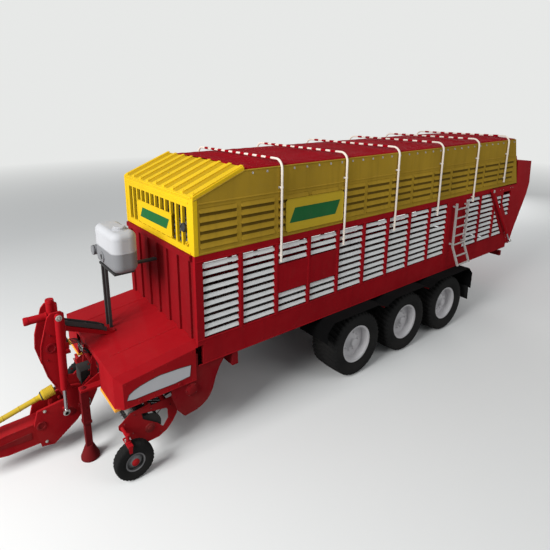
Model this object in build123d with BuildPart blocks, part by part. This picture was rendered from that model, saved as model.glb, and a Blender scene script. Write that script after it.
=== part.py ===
"""A three-axle forage loader wagon, standing on its wheels and its parking jack.

The frame has +X towards the tractor, +Y to the left and +Z up. Its origin is on the ground, in the
middle of the wagon's length and width. All lengths are in millimetres.
"""

import os
from math import atan2, cos, degrees, hypot, radians, sin

from build123d import *

os.makedirs("parts", exist_ok=True)

# Reach of the whole wagon, measured from the front wall of the load space
HITCH_X = 2800
HITCH_NOSE = 75
TAIL_X = -9480
WALL_X = -(HITCH_X + HITCH_NOSE + TAIL_X) / 2

# Load space
BODY_WIDTH = 2300
WALL_THICK = 60
BAND_BOTTOM = 1235
BAND_HEIGHT = 377
SLAT_FIELD = 1096
TOP_RAIL = 106
UPPER_HEIGHT = 1049
ROOF_DROP = 316
SLAT_BOTTOM = BAND_BOTTOM + BAND_HEIGHT
SLAT_TOP = SLAT_BOTTOM + SLAT_FIELD
WALL_TOP = SLAT_TOP + TOP_RAIL
SIDE_TOP = WALL_TOP + UPPER_HEIGHT
FRONT_TOP = SIDE_TOP - ROOF_DROP
ROOF_SLOPE = 790
SIDE_END = -8450
SIDE_FOOT = -8780
MEMBER_HEIGHT = 55
FLOOR_THICK = 40
FLOOR_FOOT = BAND_BOTTOM + MEMBER_HEIGHT
FLOOR_TOP = FLOOR_FOOT + FLOOR_THICK
CHANNEL_HEIGHT = 230
FRONT_WALL_FOOT = FLOOR_TOP + CHANNEL_HEIGHT
HALF = BODY_WIDTH / 2
INNER = HALF - WALL_THICK

# Bays of the side walls, counted from the front
BAY_PITCH = 645.5
FIRST_BAY = 112
BAY_WIDTH = 572
BAY_COUNT = 13
LADDER_BAY = 9
LETTER_BAYS = (2, 3)
SLAT_ROWS = 10
LETTER_ROWS = (3, 4, 5, 6)
SLAT_HEIGHT = 56
SLAT_THICK = 10
SLAT_TILT = 22
SEAT = 0.3

# Upper sides: louvres between a foot band and a head band
UPPER_ROWS = 5
FOOT_BAND = 76
HEAD_BAND = 383
UPPER_FOOT = WALL_TOP + FOOT_BAND
UPPER_PITCH = (SIDE_TOP - HEAD_BAND - UPPER_FOOT) / UPPER_ROWS
LOUVRE_GAP = 44
LOUVRE_HEIGHT = UPPER_PITCH - LOUVRE_GAP

# Seam between the side wall and the tailgate's cheek
SEAM_TOP_X = -7640
SEAM_FOOT_X = -8620
SEAM_FOOT_Z = FLOOR_TOP
SEAM_GAP = 14
SEAM_BAR = 78
CHEEK_TOP = WALL_TOP - 26

# Tailgate
TAIL_HINGE_X = -8650
TAIL_HINGE_Z = WALL_TOP + 606
CHEEK_THICK = 50
TAIL_LUG_IN = 1060
HINGE_PIN_R = 18
TAIL_RAM_X = -7560
TAIL_RAM_Z = WALL_TOP - 53
TAIL_EYE_X = -8700
TAIL_EYE_Z = 1400
TAIL_RAM_Y = 1195
TAIL_RAM_R = 30
TAIL_ROD_R = 18
TAIL_BOSS = 10
TAIL_SHEET = 30
POCKET_DEPTH = 18
POCKET_COUNT = 4
POCKET_RIB = 90
TAIL_OUTLINE = [
    (-8702, TAIL_HINGE_Z - 60),
    (-9420, TAIL_HINGE_Z - 128),
    (-9480, 2750),
    (-9400, 2480),
    (-8940, 1650),
    (-8817, FLOOR_TOP + 39),
    (-8790, FLOOR_TOP - 28),
]

# Running gear
AXLE_X = -3055
AXLE_PITCH = 1381
TYRE_R = 592
TYRE_WIDTH = 600
TYRE_FACE = 1368
RIM_R = 345
RIM_SHELL = 12
KINGPIN_Y = 690
KINGPIN_R = 30
SPINDLE_R = 45
AXLE_BOX = 150
FIT = 0.08
RAIL_Y = 450
RAIL_WIDTH = 80
RAIL_FOOT = 985
GUARD_TOP = BAND_BOTTOM
GUARD_THICK = 5
GUARD_IN = 740
GUARD_OUT = 1400

# Crop intake
ROTOR_X = 110
ROTOR_Z = 920
ROTOR_R = 325
ROTOR_TUBE = 110
ROTOR_HALF = 940
PAN_GAP = 22
PAN_THICK = 8
HOUSING_OUT = 1132
HOUSING_THICK = 12
REEL_X = 680
REEL_Z = 470
REEL_R = 270
REEL_TUBE = 60
REEL_BAR_R = 160
REEL_HALF = 930
REEL_BARS = 5
TINE_PITCH = 64
TINE_THICK = 6
BAND_R = 200
BAND_WIDTH = 42
BAND_THICK = 5
BACK_TUBE = (330, 560)
BACK_TUBE_R = 40
PICKUP_X = 200
PICKUP_Z = 900
PICKUP_PLATE = 8
PICKUP_IN = 960
ROLLER_X = REEL_X + 230
ROLLER_Z = REEL_Z + 290
ROLLER_R = 48
GAUGE_X = 995
GAUGE_Y = 1150
GAUGE_R = 262
GAUGE_WIDTH = 150
GAUGE_RIM_R = 130

# Hood over the intake
HOOD_FRONT = 1150
HOOD_REAR_TOP = 1611
HOOD_FRONT_TOP = 1470
HOOD_FRONT_FOOT = 1030
HOOD_REAR_FOOT = 1040
HOOD_BEVEL = 90
HOOD_SHEET = 6
HOOD_GAP = 38
INTAKE_HALF = 520
GUARD_STRIP = 35
WINDOW_TOP = 1395

# Headstock, drawbar and jack
BEAM_X = (950, 1100)
BEAM_Z = (1180, 1330)
HEAD_Y = 170
HEAD_THICK = 30
PIVOT_X = 1300
PIVOT_Z = 690
PIVOT_R = 45
DRAW_Y = 118
DRAW_THICK = 40
HITCH_Z = 420
RAM_TOP_X = 1526
RAM_TOP_Z = 2070
RAM_EYE_X = 1566
RAM_EYE_Z = 690
RAM_Y = 262
RAM_R = 45
RAM_ROD_R = 25
JACK_X = 1360
JACK_Y = 450
JACK_TUBE = 100
JACK_WALL = 8
JACK_FOOT_Z = 28
JACK_FOOT_R = 125
JACK_FLARE = 170
JACK_TOP = 1040
JACK_HOLD = 60
JACK_LEG_TOP = 670


def upright(y):
    """A lengthwise plane at this distance to the left; sketches run forward and up."""
    return Plane(origin=(WALL_X, y, 0), x_dir=(1, 0, 0), z_dir=(0, -1, 0))


def crosswise(x):
    """A plane across the wagon at this distance from the front wall; sketches run left and up."""
    return Plane(origin=(WALL_X + x, 0, 0), x_dir=(0, 1, 0), z_dir=(1, 0, 0))


def level(z):
    """A flat plane at this height; sketches run forward and left."""
    return Plane(origin=(WALL_X, 0, z), x_dir=(1, 0, 0), z_dir=(0, 0, 1))


def plate(points, y_low, y_high, mode=Mode.ADD):
    """Add or cut a lengthwise plate with this outline between two distances to the left."""
    with BuildSketch(upright(y_low)) as outline:
        with BuildLine():
            Polyline(*points, close=True)
        make_face()
    extrude(outline.sketch, amount=y_low - y_high, mode=mode)


def block(x, y, z, mode=Mode.ADD):
    """Add or cut a block given by its low and high limits along each axis."""
    with BuildSketch(level(z[0])) as outline:
        with Locations(((x[0] + x[1]) / 2, (y[0] + y[1]) / 2)):
            Rectangle(x[1] - x[0], y[1] - y[0])
    extrude(outline.sketch, amount=z[1] - z[0], mode=mode)


def crossbar(x, z, radius, y_low, y_high, mode=Mode.ADD):
    """Add or cut a round bar that runs across the wagon."""
    with BuildSketch(upright(y_low)) as outline:
        with Locations((x, z)):
            Circle(radius)
    extrude(outline.sketch, amount=y_low - y_high, mode=mode)


def rod(start, end, radius, mode=Mode.ADD):
    """Add or cut a round bar between two points (forward of the front wall, left, up)."""
    foot = Vector(WALL_X + start[0], start[1], start[2])
    head = Vector(WALL_X + end[0], end[1], end[2])
    with BuildSketch(Plane(origin=foot, z_dir=head - foot)) as outline:
        Circle(radius)
    extrude(outline.sketch, amount=(head - foot).length, mode=mode)


def save(piece, name):
    """Label a finished piece and write its file."""
    piece.part.label = name
    export_step(piece.part, f"parts/{name}.step")


def bay_start(index):
    """Front edge of a bay, measured from the front wall."""
    return -(FIRST_BAY + index * BAY_PITCH)


def seam_x(z):
    """Where the tailgate seam crosses this height."""
    share = (z - SEAM_FOOT_Z) / (CHEEK_TOP - SEAM_FOOT_Z)
    return SEAM_FOOT_X + share * (SEAM_TOP_X - SEAM_FOOT_X)


def bay_outline(index, low, high):
    """Outline of a bay's opening, cut short where the seam bar crosses it."""
    front = bay_start(index)
    back = front - BAY_WIDTH
    foot_back = max(back, seam_x(low) + SEAM_BAR)
    head_back = max(back, seam_x(high) + SEAM_BAR)
    if head_back >= front:
        reach = (front - SEAM_BAR - SEAM_FOOT_X) / (SEAM_TOP_X - SEAM_FOOT_X)
        peak = SEAM_FOOT_Z + reach * (CHEEK_TOP - SEAM_FOOT_Z)
        return [(front, low), (front, peak), (foot_back, low)]
    points = [(front, low), (front, high), (head_back, high)]
    if head_back > back:
        reach = (back - SEAM_BAR - SEAM_FOOT_X) / (SEAM_TOP_X - SEAM_FOOT_X)
        bend = SEAM_FOOT_Z + reach * (CHEEK_TOP - SEAM_FOOT_Z)
        if bend > low:
            points.append((back, bend))
    points.append((foot_back, low))
    return points


OPEN_BAYS = [index for index in range(BAY_COUNT) if index != LADDER_BAY]

# Chassis: two rails, the beams between them, the front beam and the rear beam
RAIL_FRONT = -560
RAIL_REAR = -8560
BUMPER = 70
BUMPER_HALF = 1080
BUMPER_Z = (1000, 1120)
BEAM_DEPTH = 100
MEMBER_COUNT = 12
MEMBER_WIDTH = 90
with BuildPart() as chassis_frame:
    for side in (1, -1):
        y_mid = side * RAIL_Y
        block((RAIL_REAR, RAIL_FRONT), (y_mid - RAIL_WIDTH / 2, y_mid + RAIL_WIDTH / 2),
              (RAIL_FOOT, BAND_BOTTOM))
    for x_low in (-1550, -7350, RAIL_REAR + 10):
        block((x_low, x_low + BEAM_DEPTH), (-RAIL_Y, RAIL_Y), (RAIL_FOOT + 60, BAND_BOTTOM - 20))
    block((RAIL_FRONT - BEAM_DEPTH, RAIL_FRONT), (-HOUSING_OUT, HOUSING_OUT), (RAIL_FOOT + 40, BAND_BOTTOM))
    block((RAIL_REAR - BUMPER, RAIL_REAR), (-BUMPER_HALF, BUMPER_HALF), BUMPER_Z)
save(chassis_frame, "chassis_frame")

# Cross members on the rails, under the load floor
with BuildPart() as cross_members:
    member_pitch = (RAIL_FRONT - RAIL_REAR - MEMBER_WIDTH) / (MEMBER_COUNT - 1)
    for index in range(MEMBER_COUNT):
        x_low = RAIL_REAR + index * member_pitch
        block((x_low, x_low + MEMBER_WIDTH), (-INNER, INNER), (BAND_BOTTOM, FLOOR_FOOT))
save(cross_members, "cross_members")

# Load floor
with BuildPart() as floor:
    block((SEAM_FOOT_X, RAIL_FRONT + 100), (-INNER, INNER), (FLOOR_FOOT, FLOOR_TOP))
save(floor, "floor")

# Scraper floor: four chains with cross bars, driven by a rear shaft
CHAIN_Y = (-860, -300, 300, 860)
CHAIN_WIDTH = 40
CHAIN_HIGH = 22
SCRAPER_COUNT = 18
with BuildPart() as scraper_floor:
    for y_mid in CHAIN_Y:
        block((SEAM_FOOT_X + 60, -700), (y_mid - CHAIN_WIDTH / 2, y_mid + CHAIN_WIDTH / 2),
              (FLOOR_TOP, FLOOR_TOP + CHAIN_HIGH))
    bar_pitch = (-800 - (SEAM_FOOT_X + 160)) / (SCRAPER_COUNT - 1)
    for index in range(SCRAPER_COUNT):
        x_low = SEAM_FOOT_X + 160 + index * bar_pitch
        block((x_low, x_low + 30), (-1000, 1000), (FLOOR_TOP, FLOOR_TOP + CHAIN_HIGH + 14))
save(scraper_floor, "scraper_floor")

# Side walls: one framed panel on each side, its bays cut through
NOTCH_LONG = 80
NOTCH_TOP = FRONT_WALL_FOOT - 30
WALL_OUTLINE = [
    (-NOTCH_LONG, BAND_BOTTOM),
    (SEAM_FOOT_X, BAND_BOTTOM),
    (SEAM_FOOT_X, SEAM_FOOT_Z),
    (seam_x(WALL_TOP), WALL_TOP),
    (0, WALL_TOP),
    (0, NOTCH_TOP),
    (-NOTCH_LONG, NOTCH_TOP),
]
ROW_PITCH = (SLAT_TOP - SLAT_BOTTOM) / SLAT_ROWS
LETTER_LOW = SLAT_BOTTOM + ROW_PITCH * LETTER_ROWS[0]
LETTER_HIGH = SLAT_BOTTOM + ROW_PITCH * (LETTER_ROWS[-1] + 1)
with BuildPart() as side_walls:
    plate(WALL_OUTLINE, INNER, HALF)
    crossbar(TAIL_RAM_X, TAIL_RAM_Z, 20, HALF - 2, TAIL_RAM_Y + 38)
    for index in OPEN_BAYS:
        if index in LETTER_BAYS:
            plate(bay_outline(index, SLAT_BOTTOM, LETTER_LOW), INNER - 5, HALF + 5, Mode.SUBTRACT)
            plate(bay_outline(index, LETTER_HIGH, SLAT_TOP), INNER - 5, HALF + 5, Mode.SUBTRACT)
        else:
            plate(bay_outline(index, SLAT_BOTTOM, SLAT_TOP), INNER - 5, HALF + 5, Mode.SUBTRACT)
    mirror(about=Plane.XZ)
save(side_walls, "side_walls")


def slat_points(z_mid):
    """Corners of the section of one tilted louvre slat in the left wall."""
    lean = radians(SLAT_TILT)
    y_mid = HALF - WALL_THICK / 2
    half_y = SLAT_HEIGHT / 2 * sin(lean)
    half_z = SLAT_HEIGHT / 2 * cos(lean)
    thick = SLAT_THICK / cos(lean)
    return [
        (y_mid - half_y, z_mid + half_z),
        (y_mid + half_y, z_mid - half_z),
        (y_mid + half_y + thick, z_mid - half_z),
        (y_mid - half_y + thick, z_mid + half_z),
    ]


# Louvre slats of the side walls, bay by bay; rows that end at the seam bar have their own length
with BuildPart() as side_slats:
    for index in OPEN_BAYS:
        x_front = bay_start(index)
        rows_by_end = {}
        for row in range(SLAT_ROWS):
            if index in LETTER_BAYS and row in LETTER_ROWS:
                continue
            middle = SLAT_BOTTOM + ROW_PITCH * (row + 0.5)
            x_back = max(x_front - BAY_WIDTH, seam_x(middle + SLAT_HEIGHT / 2) + SEAM_BAR)
            if x_front - x_back > SLAT_HEIGHT:
                rows_by_end.setdefault(x_back, []).append(middle)
        for x_back, middles in rows_by_end.items():
            with BuildSketch(crosswise(x_back + SEAT)):
                for middle in middles:
                    with BuildLine():
                        Polyline(*slat_points(middle), close=True)
                    make_face()
            extrude(amount=x_front - x_back - 2 * SEAT)
    mirror(about=Plane.XZ)
save(side_slats, "side_slats")

# Front wall of the load space, with upright ribs
RIB_COUNT = 7
RIB_PITCH = 330
RIB_DEPTH = 34
RIB_WIDTH = 90
HEAD_RAIL = 70
with BuildPart() as front_wall:
    block((-WALL_THICK, 0), (-INNER, INNER), (FRONT_WALL_FOOT, WALL_TOP))
    for index in range(RIB_COUNT):
        y_mid = (index - (RIB_COUNT - 1) / 2) * RIB_PITCH
        block((0, RIB_DEPTH), (y_mid - RIB_WIDTH / 2, y_mid + RIB_WIDTH / 2),
              (HOOD_REAR_TOP + 8, WALL_TOP - HEAD_RAIL))
    block((0, RIB_DEPTH + 11), (-INNER, INNER), (WALL_TOP - HEAD_RAIL, WALL_TOP))
save(front_wall, "front_wall")

# Upper sides: yellow panels with rows of louvres in every bay
UPPER_OUTLINE = [
    (0, WALL_TOP),
    (SIDE_FOOT, WALL_TOP),
    (SIDE_END, SIDE_TOP),
    (-ROOF_SLOPE, SIDE_TOP),
    (0, FRONT_TOP),
]
UPPER_THICK = 40
UPPER_IN = HALF - UPPER_THICK
LOUVRE_OUT = 14
UPPER_BACKS = [bay_start(index) + 20 - BAY_WIDTH for index in range(BAY_COUNT - 1)]
LAST_UPPER_BACK = SIDE_FOOT + 300
LAST_UPPER_WIDTH = bay_start(BAY_COUNT - 1) + 20 - LAST_UPPER_BACK
RECESS = 8
LOUVRE_LIP = 6
ROW_FEET = [UPPER_FOOT + row * UPPER_PITCH for row in range(UPPER_ROWS)]
FIELD_HEIGHT = ROW_FEET[-1] + LOUVRE_HEIGHT - UPPER_FOOT


def louvre_rows(x_backs, width):
    """Sink a shallow field into the left panel in each of these bays and set its louvres in it."""
    with BuildSketch(upright(HALF - RECESS)) as fields:
        for x_back in x_backs:
            with Locations((x_back + width / 2, UPPER_FOOT + FIELD_HEIGHT / 2)):
                Rectangle(width, FIELD_HEIGHT)
    extrude(fields.sketch, amount=-RECESS - 1, mode=Mode.SUBTRACT)
    with BuildSketch(*[crosswise(x_back) for x_back in x_backs]) as louvres:
        for z_low in ROW_FEET:
            with BuildLine():
                Polyline(
                    (HALF - RECESS, z_low + LOUVRE_HEIGHT),
                    (HALF + LOUVRE_OUT, z_low + 2 * LOUVRE_LIP),
                    (HALF + LOUVRE_OUT, z_low + LOUVRE_LIP),
                    (HALF - RECESS, z_low + 5 * LOUVRE_LIP),
                    close=True,
                )
            make_face()
    extrude(louvres.sketch, amount=width)


HINGE_ARM = (-8420, -8300)
HINGE_HIGH = 50


with BuildPart() as upper_sides:
    plate(UPPER_OUTLINE, UPPER_IN, HALF)
    louvre_rows(UPPER_BACKS, BAY_WIDTH)
    louvre_rows([LAST_UPPER_BACK], LAST_UPPER_WIDTH)
    hinge_z = (TAIL_HINGE_Z - HINGE_HIGH, TAIL_HINGE_Z + HINGE_HIGH)
    block((TAIL_HINGE_X - 40, HINGE_ARM[1]), (TAIL_LUG_IN - 30, TAIL_LUG_IN - 5), hinge_z)
    block(HINGE_ARM, (TAIL_LUG_IN - 30, UPPER_IN - SEAT), hinge_z)
    crossbar(TAIL_HINGE_X, TAIL_HINGE_Z, HINGE_PIN_R, TAIL_LUG_IN - 25, HALF - CHEEK_THICK + 4)
    mirror(about=Plane.XZ)
save(upper_sides, "upper_sides")

# Upper front: yellow frame with upright bars and dark gaps
BAR_COUNT = 12
BAR_WIDTH = 44
FRAME_SIDE = 110
SIGN_Y = (-600, 560)
SIGN_Z = (WALL_TOP + 116, WALL_TOP + 456)
SIGN_THICK = 12
with BuildPart() as upper_front:
    block((-UPPER_THICK, 0), (-UPPER_IN, UPPER_IN), (WALL_TOP, FRONT_TOP - 2))
    bar_pitch = 2 * (UPPER_IN - FRAME_SIDE) / BAR_COUNT
    for index in range(BAR_COUNT):
        y_low = -(UPPER_IN - FRAME_SIDE) + index * bar_pitch + BAR_WIDTH / 2
        block((-UPPER_THICK - 1, 1), (y_low, y_low + bar_pitch - BAR_WIDTH),
              (WALL_TOP + 90, FRONT_TOP - FRAME_SIDE), Mode.SUBTRACT)
    block((0, SIGN_THICK), SIGN_Y, SIGN_Z)
save(upper_front, "upper_front")

# Front roof: sloped ribbed panel from the upper front to the flat roof
ROOF_RIBS = 9
ROOF_THICK = 40
slope_angle = atan2(SIDE_TOP - FRONT_TOP, ROOF_SLOPE)
with BuildPart() as front_roof:
    skin = [(0, FRONT_TOP), (-ROOF_SLOPE, SIDE_TOP), (-ROOF_SLOPE, SIDE_TOP + ROOF_THICK),
            (0, FRONT_TOP + ROOF_THICK)]
    rib = [(-20, FRONT_TOP + ROOF_THICK + 5), (-ROOF_SLOPE, SIDE_TOP + ROOF_THICK - 2),
           (-ROOF_SLOPE, SIDE_TOP + ROOF_THICK + 20), (-20, FRONT_TOP + ROOF_THICK + 28)]
    plate(skin, -HALF, HALF)
    for index in range(ROOF_RIBS):
        y_mid = (index - (ROOF_RIBS - 1) / 2) * (BODY_WIDTH - 120) / (ROOF_RIBS - 1)
        plate(rib, y_mid - 35, y_mid + 35)
save(front_roof, "front_roof")

# Roof tarpaulin: a thin crowned sheet over the flat roof
TARP_THICK = 24
TARP_CROWN = 45
TARP_HALF = HALF - 45
with BuildPart() as roof_cover:
    with BuildSketch(crosswise(SIDE_END)) as section:
        with BuildLine():
            lower = ThreePointArc((-TARP_HALF, SIDE_TOP), (0, SIDE_TOP + TARP_CROWN), (TARP_HALF, SIDE_TOP))
            Line((TARP_HALF, SIDE_TOP), (TARP_HALF, SIDE_TOP + TARP_THICK))
            ThreePointArc((TARP_HALF, SIDE_TOP + TARP_THICK), (0, SIDE_TOP + TARP_CROWN + TARP_THICK),
                          (-TARP_HALF, SIDE_TOP + TARP_THICK))
            Line((-TARP_HALF, SIDE_TOP + TARP_THICK), (-TARP_HALF, SIDE_TOP))
        make_face()
    extrude(section.sketch, amount=-ROOF_SLOPE - SIDE_END - SEAT)
save(roof_cover, "roof_cover")

# Roof hoops: tubes up both sides and over the roof
HOOP_X = (-1420, -2750, -4080, -5440, -6760, -8050)
HOOP_FEET = (-365, -362, -353, -282, -179, 105)
HOOP_R = 17
HOOP_BEND = 140
HOOP_CLEAR = 6
HOOP_RISE = SIDE_TOP + TARP_CROWN + TARP_THICK + HOOP_R + HOOP_CLEAR
with BuildPart() as roof_hoops:
    for hoop_x, foot_rise in zip(HOOP_X, HOOP_FEET):
        foot_z = WALL_TOP + foot_rise
        out = HALF + LOUVRE_OUT + HOOP_R + SEAT
        with BuildLine(crosswise(hoop_x)) as path:
            FilletPolyline((out, foot_z), (out, HOOP_RISE), (-out, HOOP_RISE), (-out, foot_z),
                           radius=HOOP_BEND)
        with BuildSketch(Plane(origin=path.line @ 0, z_dir=path.line % 0)) as section:
            Circle(HOOP_R)
        sweep(section.sketch, path=path.line)
save(roof_hoops, "roof_hoops")

# Hood: bevelled sheet cover over the intake, open below and behind
with BuildPart() as hood:
    body = [(0, HOOD_REAR_TOP), (HOOD_FRONT, HOOD_FRONT_TOP), (HOOD_FRONT, HOOD_FRONT_FOOT),
            (0, HOOD_REAR_FOOT)]
    plate(body, -HALF, HALF)
    top_edges = hood.edges().filter_by(lambda e: abs(e.center().Y) > HALF - 1
                                       and e.center().Z > HOOD_FRONT_TOP - 1)
    front_edges = hood.edges().filter_by(lambda e: abs(e.center().Y) > HALF - 1
                                         and e.center().X > WALL_X + HOOD_FRONT - 1)
    chamfer(top_edges + front_edges, HOOD_BEVEL)
    rear = hood.faces().sort_by(Axis.X)[0]
    under = hood.faces().sort_by(Axis.Z)[0]
    offset(amount=-HOOD_SHEET, openings=[rear, under], kind=Kind.INTERSECTION)
    block((HOOD_FRONT - 60, HOOD_FRONT + 20), (-INTAKE_HALF, INTAKE_HALF),
          (HOOD_FRONT_FOOT - 10, WINDOW_TOP), Mode.SUBTRACT)
    for side in (1, -1):
        block((-1, HOOD_GAP), sorted((side * (HALF - HOOD_BEVEL), side * (HALF + 1))),
              (HOOD_REAR_FOOT - 1, HOOD_REAR_TOP - HOOD_BEVEL), Mode.SUBTRACT)
save(hood, "hood")

# Yellow guard strips under the hood's front edge
with BuildPart() as hood_guard:
    for side in (1, -1):
        low, high = sorted((side * INTAKE_HALF, side * (HALF - HOOD_BEVEL + 25)))
        block((HOOD_FRONT - 60, HOOD_FRONT + 12), (low, high),
              (HOOD_FRONT_FOOT - GUARD_STRIP, HOOD_FRONT_FOOT))
save(hood_guard, "hood_guard")

# Rotor housing: side plates and the curved pan under the rotor
HOUSING_OUTLINE = [
    (-430, BAND_BOTTOM),
    (-345, 1105),
    (-276, 955),
    (-226, 800),
    (-126, 650),
    (43, 566),
    (232, 545),
    (333, 672),
    (410, 910),
    (410, 1420),
    (2, 1420),
    (2, BAND_BOTTOM),
]
PAN_R = ROTOR_R + PAN_GAP
PAN_ENDS = (195, 282)
GUIDE_FOOT = ROTOR_X - PAN_R + 11
GUIDE = [
    (GUIDE_FOOT, ROTOR_Z - 98),
    (GUIDE_FOOT - PAN_THICK, ROTOR_Z - 98),
    (-262, 985),
    (-440, BAND_BOTTOM - 2),
    (-431, BAND_BOTTOM - 2),
    (-252, 985),
]
GUIDE_LIP = [(-440, BAND_BOTTOM - 8), (-431, BAND_BOTTOM - 8), (-446, FLOOR_TOP - 12),
             (-455, FLOOR_TOP - 12)]
with BuildPart() as rotor_housing:
    for side in (1, -1):
        low, high = sorted((side * HOUSING_OUT, side * (HOUSING_OUT - HOUSING_THICK)))
        plate(HOUSING_OUTLINE, low, high)
    with BuildSketch(upright(-HOUSING_OUT)) as pan:
        with BuildLine():
            outer_r = PAN_R + PAN_THICK
            a, b = (radians(angle) for angle in PAN_ENDS)
            c = (a + b) / 2
            ring = [(ROTOR_X + r * cos(t), ROTOR_Z + r * sin(t))
                    for r in (PAN_R, outer_r) for t in (a, c, b)]
            ThreePointArc(*ring[:3])
            Line(ring[2], ring[5])
            ThreePointArc(*ring[3:])
            Line(ring[3], ring[0])
        make_face()
    extrude(pan.sketch, amount=-2 * HOUSING_OUT)
    plate(GUIDE, -HOUSING_OUT, HOUSING_OUT)
    plate(GUIDE_LIP, 2 - INNER, INNER - 2)
save(rotor_housing, "rotor_housing")

# Feed rotor: tube with star plates set in a spiral
STAR_COUNT = 15
STAR_TINES = 6
STAR_THICK = 20
with BuildPart() as feed_rotor:
    crossbar(ROTOR_X, ROTOR_Z, ROTOR_TUBE, -ROTOR_HALF, ROTOR_HALF)
    crossbar(ROTOR_X, ROTOR_Z, 40, -HOUSING_OUT + HOUSING_THICK + SEAT, HOUSING_OUT - HOUSING_THICK - SEAT)
    star_pitch = 2 * (ROTOR_HALF - 60) / (STAR_COUNT - 1)
    for index in range(STAR_COUNT):
        y_mid = -(ROTOR_HALF - 60) + index * star_pitch
        turn = abs(index - (STAR_COUNT - 1) / 2) * 12
        points = []
        for tine in range(STAR_TINES):
            start = radians(turn + tine * 360 / STAR_TINES)
            for r, step in ((ROTOR_TUBE + 20, 0), (ROTOR_R, 12), (ROTOR_R - 15, 19), (ROTOR_TUBE + 20, 34)):
                angle = start + radians(step)
                points.append((ROTOR_X + r * cos(angle), ROTOR_Z + r * sin(angle)))
        plate(points, y_mid - STAR_THICK / 2, y_mid + STAR_THICK / 2)
save(feed_rotor, "feed_rotor")

# Pickup frame: side plates with their windows, cross tubes and the forks of the gauge wheels
PICKUP_OUTLINE = [
    (PICKUP_X - 30, PICKUP_Z + 50),
    (PICKUP_X + 60, PICKUP_Z + 55),
    (PICKUP_X + 150, PICKUP_Z - 90),
    (REEL_X - 60, REEL_Z + 330),
    (REEL_X + 250, REEL_Z + 335),
    (REEL_X + 420, REEL_Z + 215),
    (REEL_X + 420, REEL_Z + 160),
    (REEL_X + 300, REEL_Z + 20),
    (REEL_X + 220, REEL_Z - 130),
    (REEL_X + 60, REEL_Z - 200),
    (REEL_X - 120, REEL_Z - 195),
    (REEL_X - 240, REEL_Z - 140),
    (REEL_X - 330, REEL_Z - 50),
    (REEL_X - 404, REEL_Z + 60),
    (PICKUP_X + 25, PICKUP_Z - 240),
]
PICKUP_WINDOW = [
    (REEL_X + 105, REEL_Z + 265),
    (REEL_X - 270, REEL_Z + 190),
    (REEL_X - 270, REEL_Z + 30),
    (REEL_X - 190, REEL_Z - 70),
    (REEL_X - 110, REEL_Z + 20),
    (REEL_X + 90, REEL_Z + 170),
]
PIVOT_PIN_R = 38
AXLE_R = 20
AXLE_Z = GAUGE_R + 3
STEM_X = GAUGE_X + 60
STEM_R = 24
STEM_TOP = REEL_Z + 196
CROWN_Z = (AXLE_Z + GAUGE_R + 13, AXLE_Z + GAUGE_R + 33)
FORK_GAP = 13
FORK_THICK = 10
FORK_IN = GAUGE_Y - GAUGE_WIDTH / 2 - FORK_GAP
FORK_OUT = GAUGE_Y + GAUGE_WIDTH / 2 + FORK_GAP
DEFLECTOR = (REEL_X + 10, REEL_Z + 340)
with BuildPart() as pickup_frame:
    plate(PICKUP_OUTLINE, PICKUP_IN, PICKUP_IN + PICKUP_PLATE)
    plate(PICKUP_WINDOW, PICKUP_IN - 1, PICKUP_IN + PICKUP_PLATE + 1, Mode.SUBTRACT)
    crossbar(PICKUP_X, PICKUP_Z, PIVOT_PIN_R, PICKUP_IN, HOUSING_OUT - HOUSING_THICK - SEAT)
    holder = [(REEL_X - 30, REEL_Z + 320), (REEL_X - 30, REEL_Z + 365), (ROLLER_X + 30, ROLLER_Z + 35),
              (ROLLER_X + 30, ROLLER_Z - 30), (ROLLER_X - 20, ROLLER_Z - 30)]
    plate(holder, PICKUP_IN - 8, PICKUP_IN + 1)
    crossbar(STEM_X, STEM_TOP - STEM_R, STEM_R, PICKUP_IN, GAUGE_Y)
    rod((STEM_X, GAUGE_Y, CROWN_Z[0] + 2), (STEM_X, GAUGE_Y, STEM_TOP), STEM_R)
    block((STEM_X - 34, STEM_X + 34), (FORK_IN - FORK_THICK, FORK_OUT + FORK_THICK), CROWN_Z)
    leg = [(STEM_X - 30, CROWN_Z[1]), (STEM_X + 30, CROWN_Z[1]), (GAUGE_X + 28, AXLE_Z - 28),
           (GAUGE_X - 28, AXLE_Z - 28)]
    plate(leg, FORK_IN - FORK_THICK, FORK_IN)
    lip = [(STEM_X - 30, CROWN_Z[1]), (STEM_X + 30, CROWN_Z[1]), (STEM_X + 18, CROWN_Z[0] - 90),
           (STEM_X - 18, CROWN_Z[0] - 90)]
    plate(lip, FORK_OUT, FORK_OUT + FORK_THICK)
    crossbar(GAUGE_X, AXLE_Z, AXLE_R, FORK_IN - FORK_THICK, GAUGE_Y + 60)
    mirror(about=Plane.XZ)
    crossbar(*DEFLECTOR, 22, -PICKUP_IN - 2, PICKUP_IN + 2)
    crossbar(*BACK_TUBE, BACK_TUBE_R, -PICKUP_IN - 2, PICKUP_IN + 2)
save(pickup_frame, "pickup_frame")

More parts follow.
